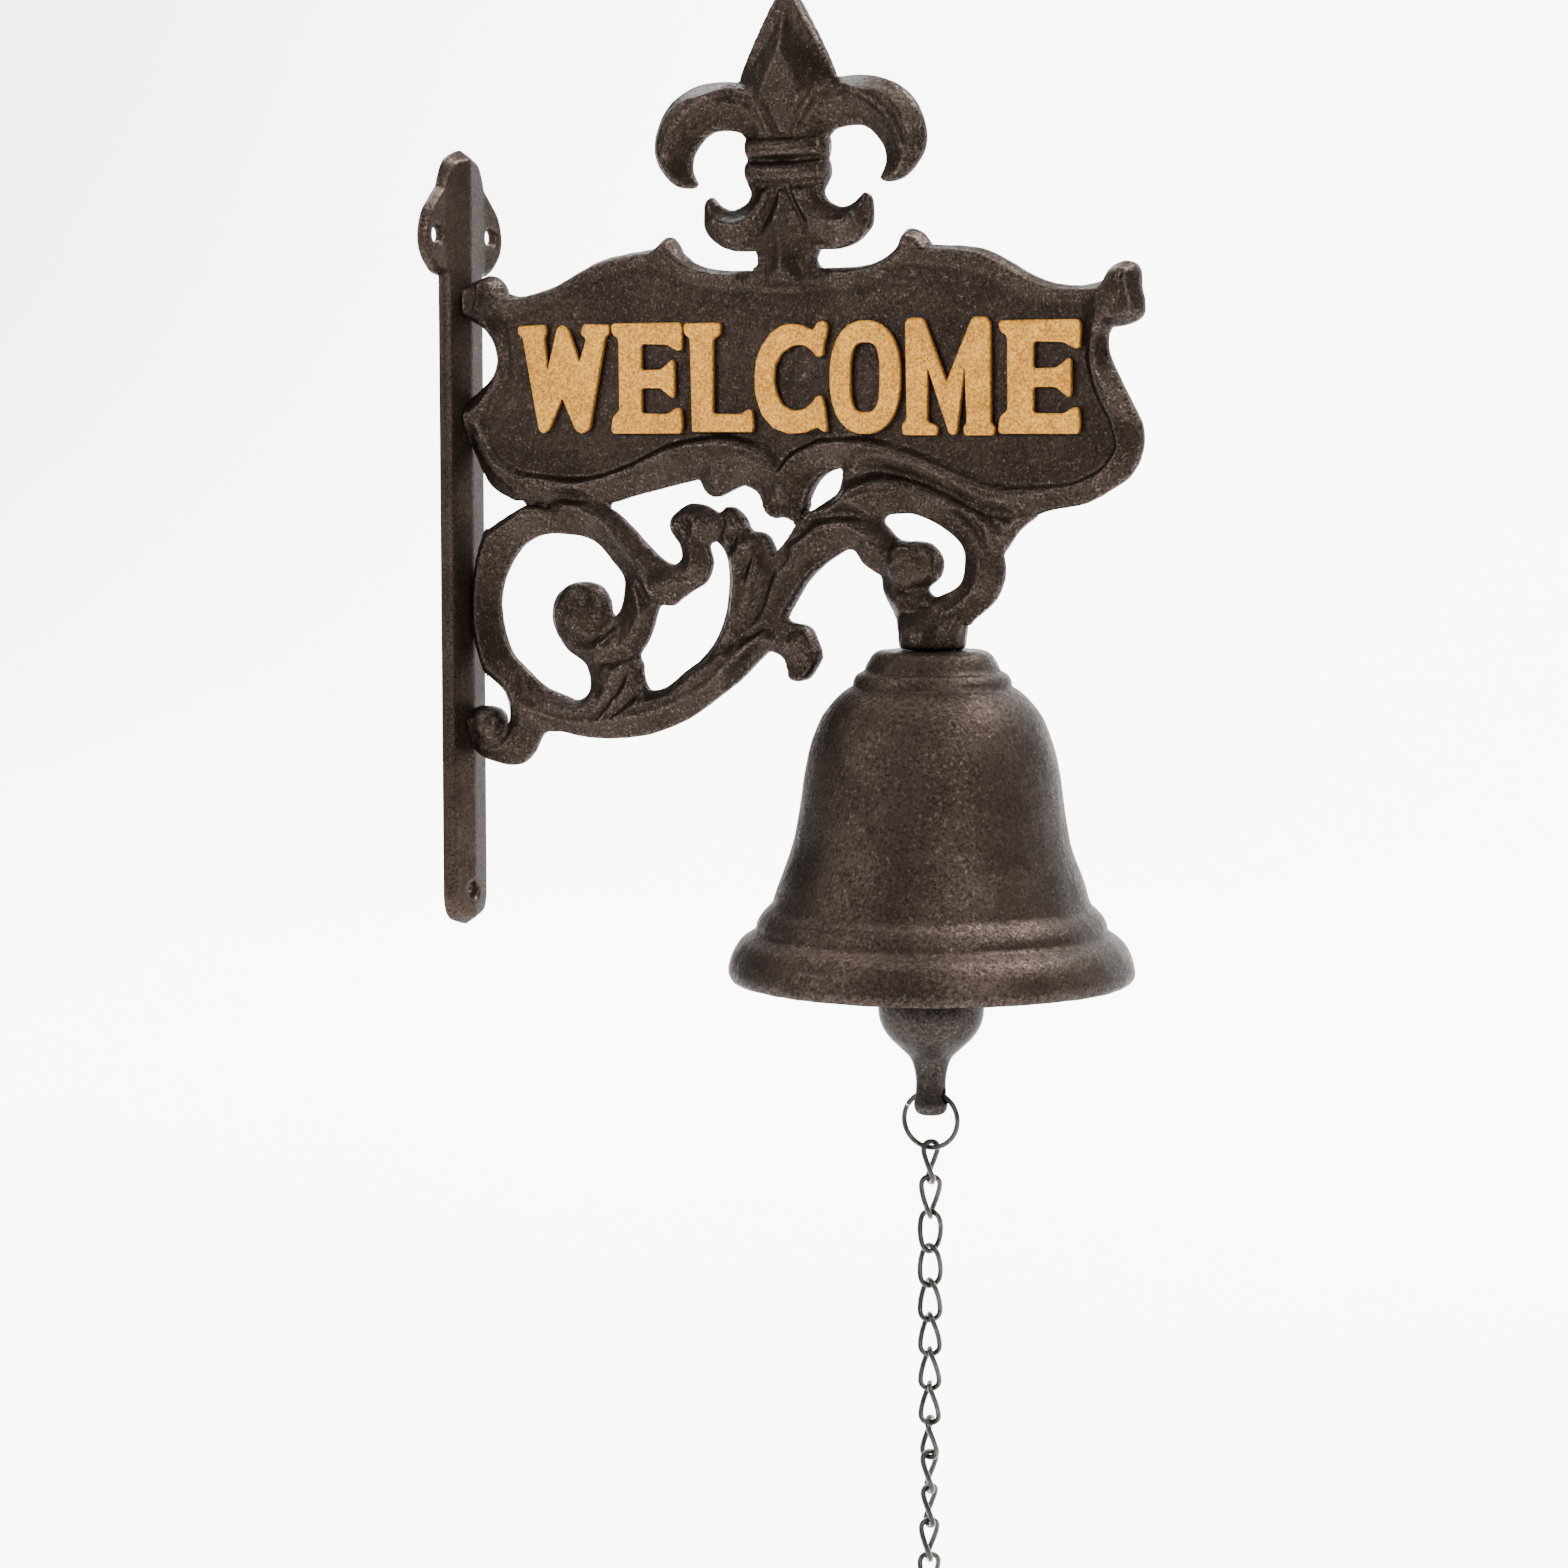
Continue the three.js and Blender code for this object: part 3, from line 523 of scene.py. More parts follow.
# ---------------------------------------------------------------- reliefs
class Relief:
    """A height field over a grid, cut to the shape of outlines and thickened into a solid.

    Outlines are closed loops in millimetres. Each stretch of outline has a base height and a slope, and
    the surface rises from it until slopes from opposite edges meet in a ridge.
    """

    TILE = 24
    REACH = 17.0  # outlines further than this from a point don't shape it
    FAR = 99.0
    SNAP = 0.55  # points nearer than this share of a cell to the silhouette move onto it

    def __init__(self, low, high, cell):
        self.cell = cell
        self.u = np.arange(low[0], high[0] + cell, cell)
        self.v = np.arange(low[1], high[1] + cell, cell)
        self.U, self.V = np.meshgrid(self.u, self.v)
        self.edges = []

    def inside(self, loops):
        """Which grid points lie inside loops, by counting crossings along each row."""
        mask = np.zeros(self.U.shape, bool)
        a = np.vstack(loops)
        b = np.vstack([np.roll(loop, -1, axis=0) for loop in loops])
        for row, v in enumerate(self.v):
            hit = (a[:, 1] > v) != (b[:, 1] > v)
            share = (v - a[hit, 1]) / (b[hit, 1] - a[hit, 1])
            crossings = np.sort(a[hit, 0] + share * (b[hit, 0] - a[hit, 0]))
            mask[row] = np.searchsorted(crossings, self.u) % 2 == 1
        return mask

    def add_edge(self, loop, base, slope, silhouette=True, keep=None):
        """Adds a closed loop. slope is a number, or a function of the points halfway along."""
        a = np.asarray(loop, float)
        b = np.roll(a, -1, axis=0)
        chosen = np.ones(len(a), bool) if keep is None else keep((a + b) / 2)
        self._add(a[chosen], b[chosen], base, slope, silhouette)

    def add_line(self, points, base, slope, silhouette=False):
        """Adds an open crease through points."""
        line = curve_through(points)
        self._add(line[:-1], line[1:], base, slope, silhouette)

    def _add(self, a, b, base, slope, silhouette):
        slopes = slope((a + b) / 2) if callable(slope) else np.full(len(a), float(slope))
        self.edges.append((a, b, np.full(len(a), float(base)), slopes, np.full(len(a), silhouette)))

    def measure(self):
        """Works out each grid point's height, and how far off and where the nearest silhouette is."""
        starts, ends, bases, slopes, outline = (np.concatenate(parts) for parts in zip(*self.edges))
        self.height = np.full(self.U.shape, self.FAR)
        self.distance = np.full(self.U.shape, self.FAR)
        self.nearest = np.zeros((*self.U.shape, 2))
        middles = (starts + ends) / 2
        for top in range(0, self.U.shape[0], self.TILE):
            for left in range(0, self.U.shape[1], self.TILE):
                window = np.s_[top:top + self.TILE, left:left + self.TILE]
                p = np.stack([self.U[window], self.V[window]], axis=-1).reshape(-1, 2)
                centre = p.mean(axis=0)
                half = np.abs(p - centre).max(axis=0)
                near = (np.abs(middles - centre) < half + self.REACH).all(axis=1)
                if not near.any():
                    continue
                a = starts[near]
                span = ends[near] - a
                gap = p[:, None, :] - a[None]
                t = np.clip((gap * span).sum(-1) / ((span**2).sum(-1) + 1e-12), 0, 1)
                foot = a + t[..., None] * span
                d = np.linalg.norm(p[:, None, :] - foot, axis=-1)
                shape = self.U[window].shape
                self.height[window] = (bases[near] + slopes[near] * d).min(axis=1).reshape(shape)
                edge = np.where(outline[near], d, self.FAR)
                best = edge.argmin(axis=1)
                rows = np.arange(len(p))
                self.distance[window] = edge[rows, best].reshape(shape)
                self.nearest[window] = foot[rows, best].reshape(*shape, 2)

    def line_distance(self, points):
        """Each grid point's distance to an open curve through points."""
        line = curve_through(points)
        a = line[:-1]
        span = line[1:] - a
        result = np.full(self.U.shape, self.FAR)
        low = line.min(axis=0) - 8
        high = line.max(axis=0) + 8
        rows = np.where((self.v > low[1]) & (self.v < high[1]))[0]
        columns = np.where((self.u > low[0]) & (self.u < high[0]))[0]
        window = np.s_[rows[0]:rows[-1] + 1, columns[0]:columns[-1] + 1]
        p = np.stack([self.U[window], self.V[window]], axis=-1)[..., None, :]
        t = np.clip(((p - a) * span).sum(-1) / (span**2).sum(-1), 0, 1)
        foot = a + t[..., None] * span
        result[window] = np.linalg.norm(p - foot, axis=-1).min(axis=-1)
        return result

    def blur(self, passes):
        """Rounds ridges and creases inside the mask by averaging neighbours."""
        for _ in range(passes):
            for axis in (0, 1):
                total = self.height * 2
                weight = np.full(self.height.shape, 2.0)
                for step in (-1, 1):
                    other = np.roll(self.mask, step, axis=axis)
                    total += np.where(other, np.roll(self.height, step, axis=axis), 0)
                    weight += other
                self.height = np.where(self.mask, total / weight, self.height)

    def at_edge(self):
        return self.distance < self.SNAP * self.cell

    def solid(self, front, back, place):
        """Points and faces: the front and back surfaces over the mask, and the wall round its edge.

        front and back are heights on the grid, and place turns arrays of u, v and height into 3-D points.
        """
        snap = self.at_edge()
        used = self.mask | snap
        u = np.where(snap, self.nearest[..., 0], self.U)
        v = np.where(snap, self.nearest[..., 1], self.V)
        number = np.full(used.shape, -1)
        number[used] = np.arange(used.sum())
        corners = cell_corners(number)
        present = (corners >= 0).sum(axis=-1)
        inside = cell_corners(self.mask).sum(axis=-1)
        kept = corners[(present >= 3) & (inside >= 1)]
        cells = [[c for c in cell if c >= 0] for cell in kept.tolist()]
        total = int(used.sum())
        uu = u[used]
        vv = v[used]
        points = np.vstack([place(uu, vv, front[used]), place(uu, vv, back[used])])
        directed = set()
        for cell in cells:
            directed.update(zip(cell, cell[1:] + cell[:1]))
        faces = cells + [[total + c for c in reversed(cell)] for cell in cells]
        for a, b in sorted(directed):
            if (b, a) not in directed:
                faces.append([b, a, total + a, total + b])
        return points, faces


def cell_corners(grid):
    """The values at each grid cell's four corners, in order round the cell."""
    return np.stack([grid[:-1, :-1], grid[:-1, 1:], grid[1:, 1:], grid[1:, :-1]], axis=-1)


def rounded_edge(distance, radius):
    """How much a rounded edge has risen, from 0 at the silhouette to 1 at radius from it."""
    t = np.clip(distance / radius, 0, 1)
    return np.sqrt(1 - (1 - t)**2)


def flat_loops(node, axis, at, drawn=(0, 2), spacing=1.2):
    """A node's cap outlines as smooth loops in millimetres, in the two coordinates named by drawn."""
    return [smoothed(loop[:, list(drawn)] / MM, spacing) for loop in cap_loops(node, axis, at)]


# ---------------------------------------------------------------- the bracket casting
CAST_NODES = ("sign_panel", "finial", "scroll_bracket", "hook_arm")
PANEL_HALF_THICK = 1.8
EDGE_HALF_THICK = 0.9
EDGE_ROUND = 0.8
TALLEST = 4.6  # how far a ridge can stand from the middle plane
DOME_FOOT = 1.6
CELL = 0.5
SEAM = 0.8  # CAD nodes of the one casting are parted by gaps narrower than this


def bracket_outlines():
    """Each casting node's outlines on its front face, and the sign's outline and field apart."""
    outlines = {}
    for node in CAST_NODES:
        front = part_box(node)[0].y
        outlines[node] = flat_loops(node, 1, front)
    sign = sorted(outlines["sign_panel"], key=lambda loop: -np.ptp(loop[:, 0]))
    return outlines, sign[0], sign[1]


def near_other(loops, reach):
    """A test that tells which points lie within reach of loops."""
    points = np.vstack([smoothed(loop, 0.3, 0) for loop in loops])

    def test(middle):
        return np.array([(((points - m)**2).sum(axis=1) < reach**2).any() for m in middle])
    return test


def sign_slopes(relief, outer, field, keep):
    """The sign's rim: a wide slope with its ridge near the field below, and near the edge above."""
    def blend(z, low, high):
        return low + (high - low) * np.clip((z - 30) / 30, 0, 1)
    relief.add_edge(outer, EDGE_HALF_THICK, lambda m: blend(m[:, 1], 0.5, 2.2), keep=keep)
    relief.add_edge(field, PANEL_HALF_THICK, lambda m: blend(m[:, 1], 2.0, 0.42), silhouette=False)


FINIAL_STEEP = 0.62


def finial_axis():
    low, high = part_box("finial")
    return (low.x + high.x) / 2 / MM


def finial_slopes(middle):
    """Gentle on the inner sides of the big petals, steeper outside, gentlest on the spike."""
    across = np.abs(middle[:, 0] - finial_axis())
    z = middle[:, 1]
    slope = np.full(len(z), FINIAL_STEEP)
    slope[(z > 89) & (across > 15)] = 1.15
    slope[(z > 90) & (z < 103.5) & (across < 28.6) & (across > 10.8)] = 0.42
    slope[(z > 114.2) & (across < 14)] = 0.42
    slope[(z < 74) & (across < 12)] = 0.4
    return slope


# Wide smooth facets round the hook and on the leaf: x from and to, z from and to, and slope.
SCROLL_STEEP = 1.05
FACETS = (
    (110, 127, -6, 1, 0.45),
    (97, 112, -18, -1, 0.5),
    (127, 152, -10, 9.5, 0.5),
    (152, 199, -99, -1, 0.5),
    (66, 80, -16, 1, 0.6),
)


def scroll_slopes(middle):
    """Gentle on the wide smooth facets: inside the ring, under the long foot and inside the hook."""
    x, z = middle.T

    def between(left, right, below, above):
        return (x > left) & (x < right) & (z > below) & (z < above)
    slope = np.full(len(x), SCROLL_STEEP)
    slope[between(12, 53, -36, 3) & ~between(29, 49, -26, -9)] = 0.4
    slope[(z < -47.5) | ((x > 26) & (z < -33 - 0.32 * np.maximum(0, 60 - x)) & (z < 0.42 * x - 72))] = 0.42
    for *limits, gentle in FACETS:
        slope[between(*limits)] = gentle
    return slope


# Creases, where two strands of the casting meet: points, height at the crease, and slope away from it.
CREASES = (
    (((8, 4.5), (16, 9.6), (26, 11.6), (36, 11.6), (46, 10.8)), 1.8, 0.9),
    (((33.5, -22.5), (38, -25), (43, -24.6), (47, -21.6), (48.6, -18.6)), 2.1, 1.2),
    (((44, -31), (50, -29.5), (56, -28.5)), 1.7, 0.8),
    (((55, -31), (50, -38), (43, -46)), 2.0, 0.9),
    (((58.5, -36.5), (54, -40), (47, -45.5)), 2.2, 0.9),
    (((14.4, -48), (12.6, -51.4), (9, -52.8), (5, -52.4)), 2.0, 1.0),
    (((57, -11), (60.5, -15.2), (63, -15.2)), 1.7, 0.8),
    (((66.2, -4.6), (70, -8), (74, -7.6), (77.2, -3)), 2.1, 0.8),
    (((69.4, -1), (72.6, 2.4), (72, 6), (69, 6.6)), 2.3, 0.9),
    (((84, -3), (86.5, 3), (89.4, 4.4)), 2.2, 0.8),
    (((89, -6), (92.4, -1), (94.8, 2.2)), 2.2, 0.8),
    (((82.8, 7), (82, 3), (79, 0.8)), 2.2, 0.8),
    (((98.4, -2), (95.5, -9), (93, -16), (88, -22)), 1.9, 0.7),
    (((88, -22), (84, -25)), 2.6, 0.7),
    (((84, -25), (79, -28.4)), 3.4, 0.7),
    (((101, -18.8), (95.6, -20), (90, -22)), 2.1, 0.9),
    (((100.5, 3), (104.5, 5.6), (109, 7.4), (116, 8.4), (124, 7.6), (129, 4.8)), 1.9, 0.9),
    (((117.5, 17), (126, 19.2), (136, 17.6), (146, 14), (156, 9.6), (164, 8.2)), 1.7, 0.8),
    (((128.6, -4), (131, -8.4), (136, -10.2), (140.6, -9.4)), 2.0, 1.1),
    (((150, 9.8), (155, 4.4), (158.6, -1), (158.4, -7)), 2.2, 0.8),
    (((118, -0.5), (122.5, 2.2), (127, 2), (131.5, 3)), 2.1, 0.8),
    (((152.4, 9), (156.2, 4.2)), 2.4, 1.0),
    (((157.4, 9), (161.6, 4.4)), 2.4, 1.0),
)

# The large ring's outer side where it passes the wall plate.
RING_WALL_SIDE = ((9.4, 4.4), (6.6, -2), (4.9, -9), (4.2, -17), (4.9, -25), (7, -32), (9.6, -37))

# Domed ends of the scrolls: centre, radius and height above the middle plane.
DOMES = (
    ((39.4, -16.9), 7.4, 5.0),
    ((9.6, -47.4), 4.3, 4.6),
    ((135.9, -3.2), 6.6, 4.8),
)

# Fine raised lines: points, height and half width.
RIBS = (
    (((10, 2), (20, 8), (35, 9.3), (45, 6.8), (55, -3), (62, -12)), 0.8, 0.8),
    (((22, -42), (30, -45), (40, -46), (60, -43), (75, -37), (85, -30), (95, -21.5)), 0.8, 0.8),
    (((115, 11), (122, 14.6), (130, 16.4), (140, 14.8), (155, 8)), 0.7, 0.7),
    (((113, 8.6), (118, 11.4), (124, 13.2), (132, 13.6)), 0.6, 0.6),
    (((104, 0), (110, 4), (118, 5.4), (124, 3)), 0.7, 0.7),
    (((34, -24.5), (39, -27.4), (45, -26.8), (50, -22.6)), 0.8, 0.7),
    (((7.5, -54), (12, -54.6), (16, -52.6), (18.4, -48.6)), 0.6, 0.7),
    (((131.5, -1.2), (135, 0.4), (139.4, -0.8)), 0.6, 0.5),
    (((131.8, -3.6), (135, -2.4), (138.6, -3.4)), 0.5, 0.5),
    (((134, -11.6), (138, -15), (144, -16.4), (150, -13.8), (154, -9.4)), 0.5, 0.7),
    (((47.5, -31), (47, -36), (50.5, -41)), 0.5, 0.7),
    (((53, -30.5), (53.4, -34.5)), 0.4, 0.7),
    (((86, 7), (90, 2), (92, -5), (91, -13)), 0.6, 0.7),
    (((82, 4.5), (86, -1), (87.4, -8), (86.4, -17)), 0.5, 0.7),
    (((97, 6.5), (95.6, 10), (93, 15)), 0.5, 0.7),
    (((103, 6.5), (103.4, 11), (105, 15)), 0.5, 0.7),
    (((80.5, 13), (81.5, 17), (84, 20)), 0.5, 0.8),
    (((185.5, 16), (188.6, 19.6), (191.4, 23)), 0.7, 0.8),
    (((179.4, 26), (182.4, 22), (184.6, 18.6)), 0.6, 0.6),
    (((7.4, 27), (10, 22), (14.6, 17.4), (20, 13.2)), 0.6, 0.7),
    (((20.6, 20), (21.6, 16.4), (24.4, 13.4)), 0.5, 0.6),
    (((66.4, 75.5), (67, 72), (69.6, 69.8)), 0.5, 0.7),
    (((135.4, 76), (135, 72.6), (132, 70.2)), 0.5, 0.7),
    (((190, 56), (193, 60), (193.4, 65)), 0.5, 0.8),
    (((9, 60), (10, 64), (9.6, 67)), 0.5, 0.8),
)

# The same for half of the fleur-de-lis, as distances from its axis; the other half is its mirror image.
FINIAL_CREASES = (
    (((1.5, 88.5), (5, 81), (8.4, 74.4)), 2.2, 0.8),
    (((13.4, 114.4), (7.5, 108), (2.6, 100.6)), 1.8, 0.8),
)
FINIAL_RIBS = (
    (((3.6, 101.6), (7, 107.6), (11.6, 112), (18, 112), (25, 109), (31.4, 103.4), (33.8, 97.4)), 1.3, 1.0),
    (((3.4, 88), (5.6, 84), (10, 80.4), (15, 79.6), (19.6, 81)), 1.1, 0.9),
    (((17.4, 104.4), (22, 103), (26, 98.4), (27.4, 93)), 0.4, 0.7),
)
COLLAR_LINES = (88.9, 95.4, 101)
COLLAR_BEADS = (98.2, 92.4)
COLLAR_HALF = 11.6


def mirrored(points):
    """Points given as distances from the finial's axis, on its left and on its right."""
    return [[(finial_axis() + side * across, z) for across, z in points] for side in (-1, 1)]


def finial_creases(relief):
    for points, base, slope in FINIAL_CREASES:
        for line in mirrored(points):
            relief.add_line(line, base, slope)
    x = finial_axis()
    for z in COLLAR_LINES:
        relief.add_line([(x - COLLAR_HALF, z), (x, z - 0.5), (x + COLLAR_HALF, z)], 2.4, 1.1)


def bead_heights(relief):
    """The two beads round the waist of the fleur-de-lis."""
    across = np.abs(relief.U - finial_axis())
    height = np.zeros(relief.U.shape)
    for z in COLLAR_BEADS:
        line = z - 0.5 * (1 - (across / COLLAR_HALF)**2)
        t = np.clip(1 - ((relief.V - line) / 2.5)**2, 0, 1)
        body = np.sqrt(np.clip(1 - (across / 12.2)**2, 0, 1))
        bead = (2.6 + 2.7 * np.sqrt(t)) * (0.35 + 0.65 * body)
        height = np.maximum(height, np.where(across < 12, bead, 0))
    return height


def grown(mask):
    """A mask spread by one grid step each way."""
    result = mask.copy()
    for axis in (0, 1):
        for step in (-1, 1):
            result |= np.roll(mask, step, axis=axis)
    return result


def add_bracket_edges(relief, outlines, sign_edge, field):
    """Every outline and crease of the casting, with no edge where two of its nodes join."""
    def free_edge(node):
        others = [loop for other in CAST_NODES if other != node for loop in outlines[other]
                  if loop is not field]
        is_seam = near_other(others, SEAM)
        wall_side = min(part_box(n)[0].x for n in CAST_NODES) / MM
        return lambda middle: ~is_seam(middle) & (middle[:, 0] > wall_side + 0.2)
    sign_slopes(relief, sign_edge, field, free_edge("sign_panel"))
    for node in ("finial", "scroll_bracket", "hook_arm"):
        slope = finial_slopes if node == "finial" else scroll_slopes
        for loop in outlines[node]:
            relief.add_edge(loop, EDGE_HALF_THICK, slope, keep=free_edge(node))
    finial_creases(relief)
    relief.add_line(RING_WALL_SIDE, EDGE_HALF_THICK, SCROLL_STEEP, silhouette=True)
    for points, base, slope in CREASES:
        relief.add_line(points, base, slope)


def bracket_mask(relief, outlines, sign_edge):
    """The casting's shape, with the narrow gaps between its nodes filled and its wall side cut clear."""
    solid = relief.inside([sign_edge])
    for node in CAST_NODES:
        if node != "sign_panel":
            solid |= relief.inside(outlines[node])
    closed = ~grown(~grown(solid))
    mask = solid | (closed & (relief.distance > 0.3 * relief.cell))
    side_x, side_z = np.array(RING_WALL_SIDE)[::-1].T
    beyond = relief.U < np.interp(relief.V, side_z, side_x)
    return mask & ~(beyond & (relief.V > side_z[0]) & (relief.V < side_z[-1]))


def bracket_heights(relief, field):
    """The surface with its domes, beads and raised lines, flat on the sign's field."""
    height = np.minimum(relief.height, TALLEST)
    for (cx, cz), radius, top in DOMES:
        r = np.hypot(relief.U - cx, relief.V - cz) / radius
        dome = DOME_FOOT + (top - DOME_FOOT) * np.sqrt(np.clip(1 - r**2, 0, 1))
        height = np.where(r < 1, np.maximum(height, dome), height)
    height = np.maximum(height, bead_heights(relief))
    ribs = list(RIBS)
    for points, rise, width in FINIAL_RIBS:
        ribs += [(line, rise, width) for line in mirrored(points)]
    for points, rise, width in ribs:
        height = height + rise * np.exp(-(relief.line_distance(points) / width)**2)
    return np.where(relief.inside([field]), PANEL_HALF_THICK, height)


def bracket_casting():
    outlines, sign_edge, field = bracket_outlines()
    boxes = [[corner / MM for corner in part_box(node)] for node in CAST_NODES]
    low = (min(b[0].x for b in boxes) - 0.999, min(b[0].z for b in boxes) - 1)
    high = (max(b[1].x for b in boxes) + 1, max(b[1].z for b in boxes) + 1)
    relief = Relief(low, high, CELL)
    add_bracket_edges(relief, outlines, sign_edge, field)
    relief.measure()
    relief.mask = bracket_mask(relief, outlines, sign_edge)
    relief.height = bracket_heights(relief, field)
    relief.blur(1)
    edge = EDGE_HALF_THICK + (relief.height - EDGE_HALF_THICK) * rounded_edge(relief.distance, EDGE_ROUND)
    relief.height = np.where(relief.at_edge(), EDGE_HALF_THICK, np.maximum(edge, 0.5))
    return relief


def casting_piece(material):
    relief = bracket_casting()

    def place(u, v, h):
        return np.stack([u, h, v], axis=1) * MM
    points, faces = relief.solid(-relief.height, relief.height, place)
    piece = mesh_of("bracket_casting", points, faces, material, 70)
    roughen(piece, 0.1 * MM, 2.2 * MM, 3)
    return settle(piece, "bracket", "cast_iron", *CAST_NODES)


# ---------------------------------------------------------------- wall plate
def wall_plate(material):
    """A strip whose front is two slopes with a ridge between them, with three countersunk holes."""
    low, high = (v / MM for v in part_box("wall_plate"))
    loops = flat_loops("wall_plate", 0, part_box("wall_plate")[0].x, (1, 2), 1.0)
    loops.sort(key=lambda loop: -np.ptp(loop[:, 1]))
    relief = Relief((low.y - 1, low.z - 1), (high.y + 1, high.z + 1), 0.45)
    edge_thick = 2.6
    strip_half = 8.5
    relief.add_edge(loops[0], EDGE_HALF_THICK, 1.6)
    for loop in loops[1:]:
        relief.add_edge(loop, 1.7 if loop[:, 1].mean() > 0 else 3.2, 1.15)
    relief.measure()
    relief.mask = relief.inside(loops)
    roof = edge_thick + (high.x - edge_thick) * np.clip(1 - np.abs(relief.U) / strip_half, 0, 1)
    sharp = np.minimum(relief.height, roof)
    relief.height = sharp
    relief.blur(1)
    relief.height = np.where(relief.at_edge(), sharp, relief.height)

    def place(u, v, h):
        return np.stack([h, u, v], axis=1) * MM
    points, faces = relief.solid(relief.height, np.zeros(relief.U.shape), place)
    piece = mesh_of("wall_plate_casting", points, faces, material, 50)
    return settle(piece, "bracket", "cast_iron", "wall_plate")


# ---------------------------------------------------------------- letters
def softened(loop, cut=0.18):
    """Cuts each corner of a loop a little, so that cast letters have soft corners."""
    drawn = []
    for a, b in zip(loop, np.roll(loop, -1, axis=0)):
        length = np.linalg.norm(b - a)
        share = min(cut, 0.5 * MM / length) if length > 0 else cut
        drawn += [a + share * (b - a), b - share * (b - a)]
    return np.array(drawn)


def letter(node, material):
    """A raised letter with a rounded edge, from its CAD node's outline."""
    low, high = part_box(node)
    front = high.y < 0
    face = low.y if front else high.y
    root = (PANEL_HALF_THICK - 0.2) * MM
    curve = bpy.data.curves.new(node, "CURVE")
    curve.dimensions = "2D"
    curve.fill_mode = "BOTH"
    for loop in cap_loops(node, 1, face):
        flat = softened(loop[:, [0, 2]])
        spline = curve.splines.new("POLY")
        spline.points.add(len(flat) - 1)
        for point, (x, z) in zip(spline.points, flat):
            point.co = (x, z, 0, 1)
        spline.use_cyclic_u = True
    round_off = 0.55 * MM
    curve.bevel_depth = round_off
    curve.bevel_resolution = 3
    curve.offset = -round_off
    depth = abs(face) - root
    curve.extrude = depth / 2 - round_off
    maker = add_object("maker", curve)
    mesh = evaluated(maker)
    bpy.data.objects.remove(maker)
    mesh.name = "raised_" + node
    middle = root + depth / 2
    out = -1 if front else 1
    for vertex in mesh.vertices:
        x, z, w = vertex.co
        vertex.co = (x, out * (middle + w), z)
    work = bmesh.new()
    work.from_mesh(mesh)
    bmesh.ops.remove_doubles(work, verts=work.verts, dist=0.01 * MM)
    bmesh.ops.triangulate(work, faces=work.faces)
    bmesh.ops.recalc_face_normals(work, faces=work.faces)
    work.to_mesh(mesh)
    work.free()
    soften(mesh, 50)
    behind = [(abs(face) - abs(v.co.y) - 0.25 * MM) / (0.7 * MM) for v in mesh.vertices]
    side = mesh.attributes.new("side", "FLOAT", "POINT")
    side.data.foreach_set("value", [max(0.0, min(1.0, share)) for share in behind])
    mesh.materials.clear()
    mesh.materials.append(material)
    return settle(add_object(mesh.name, mesh), "bracket", "gold_paint", node)


# ---------------------------------------------------------------- bell
HANG_YAW = math.radians(10)  # the hanger and the ring stand in a plane turned this far from the sign's
EYE_YAW = HANG_YAW + math.pi / 2  # the eyes they hang in stand across it


def axis_of(node):
    low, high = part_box(node)
    return ((low.x + high.x) / 2, (low.y + high.y) / 2)


def meridian(node):
    """The closed profile of a turned CAD node, as [radius, z] points in metres."""
    points, triangles = merged(node)
    centre = axis_of(node)
    x = points[:, 0] - centre[0]
    y = points[:, 1] - centre[1]
    radius = np.hypot(x, y)
    angle = np.arctan2(y, x)
    first = angle[np.argmax(radius)]
    on_line = np.abs(np.angle(np.exp(1j * (angle - first)))) * radius < 0.02 * MM
    edges = set()
    for triangle in triangles.tolist():
        for a, b in zip(triangle, triangle[1:] + triangle[:1]):
            if on_line[a] and on_line[b]:
                edges.add((min(a, b), max(a, b)))
    neighbours = {}
    for a, b in sorted(edges):
        neighbours.setdefault(a, []).append(b)
        neighbours.setdefault(b, []).append(a)
    start = min(neighbours)
    loop = [start]
    came = None
    here = start
    while True:
        following = [n for n in neighbours[here] if n != came]
        came, here = here, following[0]
        if here == start:
            break
        loop.append(here)
    return np.stack([radius[loop], points[loop, 2]], axis=1)


def bell(material):
    profile = smoothed(meridian("bell_shell"), 0.9 * MM, 52)
    points, faces = turned(profile, axis_of("bell_shell"), 224, closed=True)
    piece = mesh_of("bell_casting", points, faces, material, 60)
    roughen(piece, 0.16 * MM, 7 * MM, 5)
    roughen(piece, 0.08 * MM, 2 * MM, 9)
    return settle(piece, "bracket", "cast_iron", "bell_shell")


